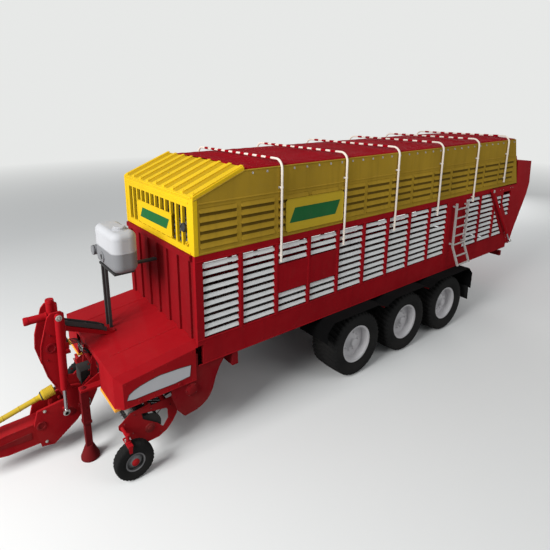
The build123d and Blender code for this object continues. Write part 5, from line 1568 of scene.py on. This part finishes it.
@dataclass
class TankTrim:
    """Trim of the tank: its lid, mould seams and pump cover."""

    x: Pair = (0.430, 0.790)
    y: Pair = (-0.430, 0.400)
    z: Pair = (2.490, 3.060)
    corner: float = 0.130
    pump: Point = (0.820, -0.455, 2.640)
    port: Point = (0.808, -0.080, 2.640)

    def build(self) -> None:
        """Add the tank's trim."""
        self.lid()
        self.bands()
        self.pump_head()

    def ring(self, z: float, grow: float) -> list[Vector]:
        """Give the points of a level line round the tank.

        Args:
            z: Its height.
            grow: How far outside the wall it runs.

        Returns:
            The points.
        """
        points = []
        r = self.corner + grow
        for cx, cy, start in ((self.x[1] - self.corner, self.y[1] - self.corner, 0),
                              (self.x[0] + self.corner, self.y[1] - self.corner, 1),
                              (self.x[0] + self.corner, self.y[0] + self.corner, 2),
                              (self.x[1] - self.corner, self.y[0] + self.corner, 3)):
            for k in range(9):
                turn = pi / 2 * (start + k / 8)
                points.append(at(cx + r * cos(turn), cy + r * sin(turn), z))
        return points

    def lid(self) -> None:
        """Add the screw lid on top, with its grip ribs."""
        shape = Mesh()
        centre = at(0.600, 0.150, self.z[1] - 0.002)
        shape.turned(centre, UP, [(0, 0.100), (0.006, 0.104), (0.010, 0.090), (0.010, 0.082), (0.040, 0.080),
                                  (0.046, 0.074), (0.047, 0.030), (0.043, 0)], 40)
        for c, s in around(24):
            shape.turned(centre + Vector((0.082 * c, 0.082 * s, 0.012)), UP, [(0, 0), (0, 0.005), (0.027, 0.004),
                                                                              (0.028, 0)], 6)
        shape.piece("tank_lid", TANK, bevel=0.0008)

    def bands(self) -> None:
        """Add the mould seams round the tank."""
        seam = Mesh()
        seam.tube(self.ring((self.z[0] + self.z[1]) / 2, 0.0), 0.0045, 8, closed=True)
        for z in (self.z[0] + 0.10, self.z[1] - 0.10):
            seam.tube(self.ring(z, -0.001), 0.0035, 8, closed=True)
        seam.piece("tank_seams", TANK)

    def pump_head(self) -> None:
        """Add the pump's cover with its screws, and the black cap in the port with its screws."""
        shape = Mesh()
        place = at(*self.pump) + Vector((-0.028, 0, 0))
        shape.turned(place, AHEAD, [(0, 0.073), (0.010, 0.074), (0.012, 0.066), (0.022, 0.060), (0.024, 0.030),
                                    (0.027, 0)], 32)
        shape.turned(place + Vector((-0.040, 0, 0)), AHEAD, [(0, 0.0725), (0.002, 0.0755), (0.010, 0.0755),
                                                             (0.012, 0.0725)], 32)
        for c, s in around(6):
            shape.dome(place + Vector((0.010, 0.066 * c, 0.066 * s)), AHEAD, 0.005, 0.005)
        port = at(*self.port) + Vector((-0.006, 0, 0))
        shape.turned(port, AHEAD, [(-0.010, 0), (-0.010, 0.040), (0.004, 0.041), (0.005, 0.034), (0.000, 0.030),
                                   (0.000, 0)], 28)
        for c, s in around(8):
            shape.dome(port + Vector((0.005, 0.064 * c, 0.064 * s)), AHEAD, 0.005, 0.005)
        shape.piece("pump_cover", BLACK, bevel=0.0006)


@dataclass
class HeadTrim:
    """Trim of the headstock: pin heads, bolts, the valve block and its rigid pipes, and the cap of its post."""

    plate_y: float = 0.200
    ram_top: Pair = (1.526, 2.070)
    pivot: Pair = (1.300, 0.690)
    rack: Pair = (1.560, 2.005)
    jack: Pair = (1.360, 0.450)
    pipe: Line = ((1.366, 1.545), (1.300, 1.545), (1.262, 1.530), (1.240, 1.490), (1.240, 1.400), (1.230, 1.352),
                  (1.190, 1.345), (1.152, 1.345))

    def build(self) -> None:
        """Add the headstock's trim."""
        self.pins()
        self.welds()
        self.post_caps()
        self.valves()
        self.pipes()
        self.shade_channel()
        self.jack_gear()

    def pins(self) -> None:
        """Add the washers, locking plates and nuts on the pins of the pivot and the cylinders."""
        shape = Mesh()
        x, z = self.pivot
        shape.turned(at(x, 0.220, z), OUT, [(-0.004, 0.045), (-0.004, 0.074), (0.006, 0.074), (0.008, 0.070),
                                            (0.008, 0.034), (0.020, 0.032), (0.023, 0.026), (0.023, 0)], 36)
        for turn in (0.6, 0.6 + pi):
            shape.dome(at(x + 0.054 * cos(turn), 0.226, z + 0.054 * sin(turn)), OUT, 0.009, 0.007)
        x, z = self.ram_top
        shape.turned(at(x, 0.307, z), OUT, [(-0.010, 0.024), (-0.010, 0.040), (-0.002, 0.040), (0.000, 0.037),
                                            (0.000, 0.018), (0.006, 0.016), (0.006, 0)], 28)
        shape.both_sides("head_pins", BOLT, bevel=0.0006)
        bolts = Mesh()
        for x, z in ((1.200, 1.060), (1.200, 1.150), (1.200, 1.240), (1.340, 1.010), (1.515, 1.200), (1.520, 1.420),
                     (1.500, 1.620), (1.700, 1.480), (1.640, 1.820)):
            bolts.nut(at(x, self.plate_y, z), OUT, 0.022, 0.014)
        bolts.both_sides("head_bolts", DARK_RED)

    def welds(self) -> None:
        """Add the edge bars and weld beads that stiffen the tower plates."""
        shape = Mesh()
        rear_edge = [(1.486, 1.110), (1.476, 1.500), (1.436, 1.905)]
        front_edge = [(1.640, 1.070), (1.722, 1.250), (1.776, 1.500), (1.757, 1.700), (1.697, 1.895)]
        for line in (rear_edge, front_edge):
            shape.tube(drawn(self.plate_y + 0.002, line), 0.0075, 8)
        for z in (1.182, 1.328):
            shape.tube([at(1.100, y, z) for y in (0.215, 0.60, 1.06)], 0.006, 8)
        boss = Mesh()
        boss.turned(at(1.640, self.plate_y, 1.640), OUT, [(0, 0.072), (0.010, 0.070), (0.012, 0.066), (0.012, 0.046),
                                                          (0.002, 0.045), (0.002, 0)], 32)
        boss.both_sides("head_bosses", DARK_RED)
        shape.both_sides("head_edge_bars", RED)

    def post_caps(self) -> None:
        """Add the caps and collars of the rounded post and arm on top of the headstock."""
        shape = Mesh()
        x, z = self.rack
        shape.turned(at(x, 0, z + 0.176), UP, [(0, 0.0522), (0.004, 0.0555), (0.040, 0.0555), (0.046, 0.0522)], 36)
        shape.turned(at(x + 0.280, 0, z), AHEAD, [(0, 0.0522), (0.004, 0.0555), (0.044, 0.0555), (0.050, 0.0522)], 36)
        shape.turned(at(x + 0.053, 0, z), AHEAD, [(0, 0.0522), (0.003, 0.0600), (0.016, 0.0600), (0.019, 0.0522)], 36)
        for c, s in around(6):
            shape.dome(at(x + 0.3345, 0.036 * c, z + 0.036 * s), AHEAD, 0.006, 0.0004)
        shape.piece("post_collars", RED, bevel=0.0006)

    def valves(self) -> None:
        """Add the small valve block with its coils between the tower plates, on the cross tube."""
        block = Mesh()
        block.block(at(1.395, -0.085, 1.500), at(1.475, 0.085, 1.585))
        block.block(at(1.445, -0.060, 1.585), at(1.475, 0.060, 1.640))
        block.block(at(1.400, -0.165, 1.470), at(1.470, 0.165, 1.500))
        block.piece("valve_block", RED, bevel=0.003)
        coils = Mesh()
        for i in range(3):
            y = -0.055 + 0.055 * i
            coils.turned(at(1.420, y, 1.585), UP, [(0, 0), (0, 0.018), (0.004, 0.020), (0.052, 0.020), (0.056, 0.017),
                                                   (0.058, 0.009), (0.070, 0.008), (0.071, 0)], 20)
        coils.piece("valve_coils", BLACK, bevel=0.0006)
        ends = Mesh()
        for i in range(4):
            y = -0.066 + 0.044 * i
            ends.turned(at(1.395, y, 1.545), BACK, [(0, 0.011), (0.010, 0.011), (0.010, 0.013), (0.024, 0.013),
                                                    (0.024, 0.008), (0.030, 0.008), (0.030, 0)], 6)
        ends.piece("valve_unions", GUARD_YELLOW)

    def pipes(self) -> None:
        """Lay the rigid steel pipes from the valve block to the hood, held in clips under the brace."""
        shape = Mesh()
        for i in range(4):
            y = -0.066 + 0.044 * i
            shape.tube(drawn(y, self.pipe), 0.0075, 10)
            shape.turned(at(1.152, y, 1.345), AHEAD, [(0, 0), (0, 0.013), (0.014, 0.013), (0.014, 0.0075)], 6)
        shape.piece("oil_pipes", BLACK)
        clip = Mesh()
        for z in (1.470, 1.410):
            clip.block(at(1.228, -0.085, z - 0.012), at(1.252, 0.085, z + 0.012))
        clip.piece("pipe_clips", ZINC, bevel=0.002)

    def shade_channel(self) -> None:
        """Add a black channel along the brace, down to the hood, empty of pipes; its black is partly painted shade,
        standing in for the shade under the hood's front edge.
        """
        shape = Mesh()
        top = [(1.440, 1.868), (1.300, 1.806), (1.100, 1.716), (0.960, 1.652), (0.865, 1.590)]
        for y, low, high, wide in ((-0.058, -0.022, 0.046, 0.008), (0.050, -0.022, 0.046, 0.008),
                                   (-0.050, 0.002, 0.010, 0.100)):
            outline = [(x, z + low) for x, z in top] + [(x, z + high) for x, z in reversed(top)]
            shape.prism(drawn(y, outline), OUT * wide)
        for x, z in ((1.380, 1.866), (1.130, 1.754), (0.930, 1.662)):
            shape.block(at(x - 0.016, -0.062, z - 0.014), at(x + 0.016, 0.062, z - 0.006))
        shape.piece("brace_shade_channel", BLACK, bevel=0.002)

    def jack_gear(self) -> None:
        """Add the cap, the pins and the collar of the parking jack."""
        x, y = self.jack
        gear = Mesh()
        gear.turned(at(x, y, 1.0705), UP, [(0, 0), (0, 0.034), (0.006, 0.034), (0.012, 0.028), (0.014, 0.012),
                                           (0.026, 0.011), (0.026, 0)], 28)
        gear.piece("jack_cap", JACK_RED_SHADED, bevel=0.0006)
        pins = Mesh()
        washer = [(0, 0), (0, 0.014), (0.003, 0.014), (0.003, 0.009), (0.004, 0)]
        for z in (0.640, 0.720, 0.800):
            pins.turned(at(x, y + 0.050, z), OUT, washer, 18)
            pins.turned(at(x + 0.050, y, z), AHEAD, washer, 18)
        for start in (x - 0.074, x + 0.0495):
            pins.turned(at(start, y, 0.86), AHEAD, [(0, 0), (0, 0.010), (0.024, 0.010), (0.0245, 0)], 14)
        pins.tube([at(x + 0.076, y + 0.022 * c, 0.86 - 0.018 + 0.022 * s) for c, s in around(16)], 0.003, 8,
                  closed=True)
        pins.piece("jack_pins", JACK_RED_SHADED)
        collar = Mesh()
        h, rise = 0.0505, Vector((0, 0, 0.035))
        outline = [at(x + a * h, y + b * h, 0.549) for a, b in ((-1, -1), (1, -1), (1, 1), (-1, 1), (-1, -1))]
        grown = [p + (p - at(x, y, 0.549)).normalized() * 0.009 for p in outline]
        collar.grid([outline, grown, [p + rise for p in grown], [p + rise for p in outline]])
        collar.piece("jack_collar", JACK_RED_SHADED)


@dataclass
class DrawbarTrim:
    """Trim of the drawbar and the drive shaft: bolts, beads, strips, and the guard's ribs and bearings."""

    cheek_y: float = 0.158
    shaft_rear: Point = (1.620, 0.0, 0.925)
    shaft_front: Point = (2.700, 0.0, 0.640)

    def build(self) -> None:
        """Add the drawbar's trim."""
        self.bolts()
        self.beads()
        self.guard()
        self.cup()

    def bolts(self) -> None:
        """Add the bright bolts of the cheeks and the rings on the cylinders' pin."""
        shape = Mesh()
        for x, z in ((1.813, 0.735), (1.834, 0.275)):
            shape.nut(at(x, self.cheek_y, z), OUT, 0.030, 0.018)
        shape.turned(at(1.566, 0.307, 0.690), OUT, [(-0.009, 0.024), (-0.009, 0.038), (-0.002, 0.038), (0.000, 0.034),
                                                    (0.000, 0)], 28)
        shape.both_sides("drawbar_bolts", BOLT, "drawbar")
        bush = Mesh()
        bush.turned(at(1.870, self.cheek_y, 0.540), OUT, [(-0.001, 0.064), (0.006, 0.064), (0.010, 0.060),
                                                          (0.010, 0.040), (0.001, 0.039), (0.001, 0)], 32)
        bush.turned(at(1.480, self.cheek_y, 0.600), OUT, [(-0.001, 0.074), (0.004, 0.074), (0.006, 0.070),
                                                          (0.006, 0)], 32)
        bush.both_sides("drawbar_bosses", DARK_RED, "drawbar")

    def beads(self) -> None:
        """Add the weld beads of the beam and its doubling strips."""
        shape = Mesh()
        top_line = [(1.965, 0.601 - 0.03), (2.300, 0.561), (2.618, 0.501)]
        foot_line = [(1.925, 0.249 + 0.014), (2.300, 0.269), (2.618, 0.339)]
        for line in (top_line, foot_line):
            for y in (0.117, -0.117):
                shape.tube(drawn(y, line), 0.007, 8)
        shape.piece("drawbar_beads", RED, "drawbar")
        strip = Mesh()
        strip.prism(drawn(0.118, [(2.000, 0.470), (2.560, 0.440), (2.560, 0.400), (2.000, 0.370)]), OUT * 0.008)
        strip.both_sides("drawbar_strips", DARK_RED, "drawbar", bevel=0.002)

    def on_shaft(self, x: float) -> Vector:
        """Give the point of the shaft's axis at a place."""
        rise = (self.shaft_front[2] - self.shaft_rear[2]) / (self.shaft_front[0] - self.shaft_rear[0])
        return at(x, 0, self.shaft_rear[2] + rise * (x - self.shaft_rear[0]))

    def guard(self) -> None:
        """Add the ribbed bell, the rings and the bearings of the shaft's yellow guard."""
        way = (self.on_shaft(2.6) - self.on_shaft(1.6)).normalized()
        shape = Mesh()
        start = self.on_shaft(1.645)
        profile = [(0.0, 0.0702)]
        for k in range(7):
            along = 0.004 + k * 0.020
            profile += [(along, 0.0745), (along + 0.009, 0.0745), (along + 0.012, 0.0708)]
        profile += [(0.148, 0.070)]
        shape.turned(start, way, profile, 40)
        shape.turned(self.on_shaft(1.790), way, [(0.000, 0.0700), (0.010, 0.062), (0.030, 0.050), (0.042, 0.040),
                                                 (0.050, 0.0362)], 36)
        for x in (1.880, 2.080, 2.280, 2.480):
            shape.turned(self.on_shaft(x), way, [(0, 0.0361), (0.003, 0.0395), (0.012, 0.0395), (0.015, 0.0361)], 30)
        shape.turned(self.on_shaft(2.520), way, [(0, 0.0361), (0.012, 0.046), (0.060, 0.058), (0.078, 0.060),
                                                 (0.080, 0.052), (0.074, 0.036)], 36)
        shape.piece("guard_ribs", GUARD_YELLOW, "drawbar")
        bands = Mesh()
        for x, rear, front in ((1.800, 0.066, 0.058), (2.500, 0.0440, 0.0440)):
            bands.turned(self.on_shaft(x), way, [(0, 0.0362), (0.0, rear), (0.016, front), (0.016, 0.0362)], 32)
        bands.piece("guard_bearings", BLACK, "drawbar")

    def cup(self) -> None:
        """Add the keeper and the flange bolts of the ball cup."""
        shape = Mesh()
        for y in (-0.078, 0.078):
            for z in (0.372, 0.468):
                shape.nut(at(2.700, y, z), AHEAD, 0.024, 0.016)
        shape.turned(at(2.800, 0, 0.474), UP, [(0, 0.060), (0.004, 0.060), (0.006, 0.056), (0.006, 0.018),
                                               (0.012, 0.016), (0.012, 0)], 32)
        shape.piece("cup_bolts", BOLT, "drawbar")


@dataclass
class RunningGear:
    """Trim below the body: mudguard beads, stays and flaps, spring bolts and brake chambers."""

    axles: tuple[float, float, float] = (-3.055, -4.436, -5.817)
    crest: Line = ((-2.235, 0.900), (-2.235, 1.090), (-2.385, 1.235), (-3.5055, 1.235), (-3.7455, 1.140),
                   (-3.9855, 1.235), (-4.8865, 1.235), (-5.1265, 1.140), (-5.3665, 1.235), (-6.527, 1.235),
                   (-6.677, 1.090), (-6.677, 0.740))
    guard_out: float = 1.400
    guard_in: float = 0.740
    u_bolt: Line = ((0.405, 0.500), (0.405, 0.770), (0.412, 0.782), (0.488, 0.782), (0.495, 0.770), (0.495, 0.500))

    def build(self) -> None:
        """Add the running gear's trim."""
        self.guard_beads()
        self.stays()
        self.springs()
        self.brakes()

    def guard_beads(self) -> None:
        """Add the rolled edges and pressed lines of the mudguards."""
        shape = Mesh()
        inset = [(x + (0.006 if x < -4.4 else -0.006) * (1 if z < 1.1 else 0), z - 0.003) for x, z in self.crest]
        for y in (self.guard_out - 0.009, self.guard_in + 0.009):
            shape.tube(drawn(y, [(x, z - 0.004) for x, z in inset]), 0.0075, 10)
        for y in (1.26, 1.08, 0.90):
            shape.tube(drawn(y, [(x, z - 0.0045) for x, z in inset]), 0.0065, 8)
        shape.both_sides("guard_beads", GUARD_BLACK)
        flap = Mesh()
        for sign in (1, -1):
            rows = []
            for k in range(7):
                z = 0.760 - 0.30 * k / 6
                lean = -0.010 * (k / 6) ** 2
                rows.append([at(-6.672 + lean + 0.012, sign * y, z) for y in (0.80, 1.0, 1.2, 1.36)])
            flap.grid(rows)
        thicken(flap.piece("guard_flaps", RUBBER, smooth=60.0), 0.006)

    def stays(self) -> None:
        """Add the tube stays that carry the mudguards from the chassis rails."""
        shape = Mesh()
        for x in (-2.420, -3.7455, -5.1265, -6.480):
            top = 1.218 if x in (-2.420, -6.480) else 1.122
            shape.tube([at(x, 0.492, 1.130), at(x, 0.80, top - 0.012), at(x, 1.34, top - 0.012)], 0.017, 14)
            shape.block(at(x - 0.035, 0.488, 1.090), at(x + 0.035, 0.496, 1.170))
        shape.both_sides("guard_stays", DARK_RED)

    def springs(self) -> None:
        """Add the U-bolts, the clip plates and the leaf edges of the springs."""
        bolts = Mesh()
        leaves = Mesh()
        for x in self.axles:
            for dx in (-0.088, 0.088):
                bolts.tube([at(x + dx, y, z) for y, z in self.u_bolt], 0.008, 10)
                for y in (0.405, 0.495):
                    bolts.nut(at(x + dx, y, 0.5115), DOWN, 0.024, 0.016)
            bolts.block(at(x - 0.115, 0.388, 0.5115), at(x + 0.115, 0.512, 0.5165))
            for k in range(1, 4):
                drop = 0.017 * k
                end, low = 0.878 - 0.034 * k - drop * 0.2, 0.737 - drop
                leaves.tube(drawn(0.4895, [(x - 0.585 + 0.09 * k, end), (x - 0.120, low), (x + 0.120, low),
                                           (x + 0.585 - 0.09 * k, end)]), 0.0028, 6)
        bolts.both_sides("spring_bolts", ZINC)
        leaves.both_sides("spring_leaves", BLACK)

    def brakes(self) -> None:
        """Add the brake chambers and their push rods behind each axle."""
        chambers = Mesh()
        rods = Mesh()
        for x in self.axles:
            foot = at(x - 0.110, 0.300, 0.640)
            chambers.turned(foot, BACK, [(0, 0), (0, 0.030), (0.006, 0.060), (0.030, 0.076), (0.062, 0.080),
                                         (0.066, 0.086), (0.078, 0.086), (0.082, 0.080), (0.112, 0.072),
                                         (0.135, 0.050), (0.140, 0)], 32)
            chambers.block(at(x - 0.114, 0.255, 0.565), at(x - 0.074, 0.345, 0.668))
            rods.turned(foot, AHEAD, [(0, 0), (0, 0.009), (0.034, 0.009), (0.035, 0)], 12)
            rods.turned(at(x - 0.186, 0.300, 0.640), BACK, [(0, 0.0865), (0.002, 0.089), (0.010, 0.089),
                                                            (0.012, 0.0865)], 32)
        chambers.both_sides("brake_chambers", BLACK)
        rods.both_sides("brake_rods", ZINC)


@dataclass
class PickupTrim:
    """Trim of the intake: bearings, tine coils, plate bolts and the fork's pins."""

    reel: Pair = (0.680, 0.470)
    rotor: Pair = (0.110, 0.920)
    plate_y: float = 0.968
    bars: int = 5
    bar_circle: float = 0.160
    first_bar: float = 20
    tine_pitch: float = 0.064
    tines: int = 27
    lower_edge: Line = ((0.300, 0.020), (0.220, -0.130), (0.060, -0.200), (-0.120, -0.195), (-0.240, -0.140),
                        (-0.330, -0.050), (-0.404, 0.060))

    def build(self) -> None:
        """Add the intake's trim."""
        self.coils()
        self.plates()
        self.bearings()
        self.forks()

    def coils(self) -> None:
        """Wind a spring coil beside the foot of every tine."""
        shape = Mesh()
        x, z = self.reel
        for bar in range(self.bars):
            turn = radians(bar * 360 / self.bars + self.first_bar)
            for i in range(self.tines):
                y = (i - (self.tines - 1) / 2) * self.tine_pitch
                shape.turned(at(x + self.bar_circle * cos(turn), y + 0.004, z + self.bar_circle * sin(turn)), OUT,
                             [(0, 0.0145), (0.003, 0.0205), (0.006, 0.0175), (0.009, 0.0205), (0.012, 0.0175),
                              (0.015, 0.0205), (0.018, 0.0145)], 10)
        shape.piece("tine_coils", DARK_STEEL, "reel")

    def plates(self) -> None:
        """Add the bolts and the rolled lower edge of the pickup's side plates."""
        x, z = self.reel
        edge = Mesh()
        edge.tube([at(x + a, self.plate_y - 0.004, z + b) for a, b in self.lower_edge], 0.0085, 10)
        edge.both_sides("pickup_edges", RED, "pickup")
        bolts = Mesh()
        for a, b in ((0.34, 0.21), (0.37, 0.15), (0.20, 0.29), (-0.03, 0.29), (-0.31, 0.22), (-0.40, 0.35),
                     (-0.30, 0.02), (0.10, -0.14), (-0.15, -0.13), (0.24, 0.03)):
            bolts.nut(at(x + a, self.plate_y, z + b), OUT, 0.018, 0.011)
        bolts.turned(at(x, self.plate_y, z), OUT, [(0, 0.070), (0.010, 0.068), (0.014, 0.056), (0.014, 0.036),
                                                   (0.022, 0.034), (0.024, 0.022), (0.024, 0)], 32)
        bolts.both_sides("pickup_bolts", DARK_RED, "pickup")

    def bearings(self) -> None:
        """Add the rotor's bearing flanges and the bolts of the housing's side plates."""
        shape = Mesh()
        place = at(self.rotor[0], 1.132, self.rotor[1])
        shape.turned(place, OUT, [(0, 0.100), (0.010, 0.098), (0.016, 0.080), (0.030, 0.066), (0.034, 0.050),
                                  (0.034, 0)], 36)
        for c, s in around(6):
            shape.nut(place + Vector((0.086 * c, 0.011, 0.086 * s)), OUT, 0.018, 0.011)
        for x, z in ((-0.330, 1.150), (-0.245, 0.990), (-0.190, 0.830), (-0.080, 0.680), (0.060, 0.610), (0.215, 0.600),
                     (0.290, 0.720), (0.360, 0.900)):
            shape.dome(at(x, 1.132, z), OUT, 0.010, 0.007)
        shape.both_sides("rotor_bearings", DARK_RED)

    def forks(self) -> None:
        """Add the collars and the height pins of the gauge wheels' stems."""
        shape = Mesh()
        shape.turned(at(1.055, 1.150, 0.5605), UP, [(0, 0.024), (0, 0.040), (0.012, 0.040), (0.016, 0.030),
                                                    (0.016, 0.024)], 24)
        shape.turned(at(1.055, 1.150, 0.664), UP, [(0, 0), (0, 0.030), (0.006, 0.030), (0.010, 0.020), (0.010, 0)],
                     24)
        shape.both_sides("fork_collars", RED, "pickup")
        pins = Mesh()
        pins.turned(at(1.020, 1.150, 0.610), AHEAD, [(0, 0), (0, 0.008), (0.070, 0.008), (0.071, 0)], 12)
        pins.tube([at(1.088, 1.150 + 0.018 * c, 0.594 + 0.018 * s) for c, s in around(14)], 0.0025, 6, closed=True)
        pins.both_sides("fork_pins", BOLT, "pickup")


@dataclass
class LadderTrim:
    """Trim of the ladder: toothed treads, bolts and rail ends."""

    rails: Pair = (-6.500, -6.060)
    rungs: Line = ((1.228, 2.560), (1.228, 2.370), (1.228, 2.180), (1.228, 1.990), (1.228, 1.800), (1.312, 1.572),
                   (1.378, 1.402))

    def build(self) -> None:
        """Add the teeth of the treads, the rungs' nuts and the rail ends."""
        teeth = Mesh()
        for y, z in self.rungs:
            for i in range(18):
                x = self.rails[0] + 0.035 + i * 0.0218
                teeth.turned(at(x, y, z + 0.0118), UP, [(0, 0.0065), (0.005, 0.004), (0.005, 0.002), (0.001, 0)], 6)
        teeth.piece("tread_teeth", ZINC)
        nuts = Mesh()
        for x, way in ((self.rails[0] - 0.018, -1), (self.rails[1] + 0.018, 1)):
            for z in (2.615, 1.815):
                nuts.nut(at(x + way * 0.0005, 1.228, z), Vector((way, 0, 0)), 0.018, 0.010)
        for x in self.rails:
            nuts.block(at(x - 0.020, 1.2085, 2.6805), at(x + 0.020, 1.2475, 2.688))
        nuts.piece("ladder_nuts", BOLT, bevel=0.0006)


@dataclass
class TailTrim:
    """Trim of the rear: the cheeks' edges and bolts, the cylinders' pin caps and the lamps' frames."""

    eye: Pair = (-8.700, 1.400)
    ram: Pair = (-7.560, 2.761)
    lamps: Pair = (0.760, 0.960)
    amber_y: float = 0.610

    def build(self) -> None:
        """Add the rear's trim."""
        self.cheeks()
        self.ends()
        self.lamp_frames()

    def cheeks(self) -> None:
        """Add the folded edges and the bolts of the tailgate's cheeks."""
        edge = Mesh()
        edge.tube([at(-8.620, HALF - 0.003, 1.365), at(-7.668, HALF - 0.003, 2.780)], 0.006, 8)
        edge.tube([at(-7.668, HALF - 0.003, 2.782), at(-8.790, HALF - 0.003, 2.782)], 0.006, 8)
        edge.both_sides("cheek_edges", RED, "tailgate")
        bolts = Mesh()
        for i in range(9):
            share = (i + 0.5) / 9
            bolts.dome(at(-8.660 + 0.95 * share, HALF, 1.425 + 1.36 * share - 0.02), OUT, 0.008, 0.006)
        for x in (-8.02, -8.165, -8.50, -8.62):
            bolts.dome(at(x, HALF, 2.725), OUT, 0.009, 0.006)
        bolts.both_sides("cheek_bolts", BOLT, "tailgate")

    def ends(self) -> None:
        """Add the pin caps of the tailgate's cylinders."""
        caps = Mesh()
        caps.turned(at(self.ram[0], 1.233, self.ram[1]), OUT, [(-0.002, 0.020), (-0.002, 0.034), (0.004, 0.034),
                                                               (0.006, 0.030), (0.006, 0.014), (0.012, 0.012),
                                                               (0.012, 0)], 24)
        caps.both_sides("cylinder_caps", BOLT)
        eyes = Mesh()
        eyes.turned(at(self.eye[0], 1.233, self.eye[1]), OUT, [(-0.002, 0.016), (-0.002, 0.030), (0.004, 0.030),
                                                               (0.006, 0.026), (0.006, 0)], 24)
        eyes.both_sides("rod_caps", BOLT, "tailgate")

    def lamp_frames(self) -> None:
        """Add the black frames and the amber lenses beside the red rear lamps."""
        frames = Mesh()
        amber = Mesh()
        for y in self.lamps:
            low, high = y - 0.092, y + 0.092
            for a, b, c, d in ((low, 1.012, high, 1.021), (low, 1.099, high, 1.108), (low, 1.012, low + 0.006, 1.108),
                               (high - 0.006, 1.012, high, 1.108)):
                frames.block(at(-8.664, a, b), at(-8.631, c, d))
        lens = at(-8.630, self.amber_y, 1.060)
        amber.turned(lens, BACK, [(0, 0), (0, 0.038), (0.020, 0.038), (0.030, 0.030), (0.033, 0)], 32)
        frames.turned(lens, BACK, [(0, 0.0382), (0.016, 0.043), (0.018, 0.0382)], 32)
        frames.both_sides("lamp_frames", BLACK, bevel=0.001)
        amber.both_sides("amber_lamps", LAMP_AMBER)


@dataclass
class FloorChains:
    """Round-link chains of the scraper floor."""

    lines: tuple[float, ...] = (-0.860, -0.300, 0.300, 0.860)
    front: float = -0.760
    rear: float = -8.500
    pitch: float = 0.086
    height: float = 1.3745
    straight: float = 0.032
    bend: float = 0.020
    wire: float = 0.0062

    def build(self) -> None:
        """Lay the chains along the floor, each link turned from the last."""
        shape = Mesh()
        count = int((self.front - self.rear) / self.pitch)
        for y in self.lines:
            for i in range(count):
                x = self.front - (i + 0.5) * self.pitch
                flat = i % 2 == 0
                loop = []
                for c, s in around(12):
                    along = self.straight * (1 if c > 0 else -1) + self.bend * c
                    aside, rise = (self.bend * s, 0.0) if flat else (0.0, self.bend * s * 0.55)
                    loop.append(at(x + along, y + aside, self.height + rise))
                shape.tube(loop, self.wire, 6, closed=True)
        shape.piece("floor_chains", STEEL)


def main() -> None:
    """Dress the frame and build each sub-assembly in turn."""
    logging.basicConfig(level=logging.INFO, format="%(name)s %(message)s")
    dress_frame()
    for part in (Studio(), Wheels(), RoofCloth(), SideTrim(), UpperTrim(), HoopTrim(), HoodTrim(), TankTrim(),
                 HeadTrim(), DrawbarTrim(), RunningGear(), PickupTrim(), LadderTrim(), TailTrim(), FloorChains()):
        LOG.info("building %s", type(part).__name__)
        part.build()


if __name__ == "__main__":
    main()
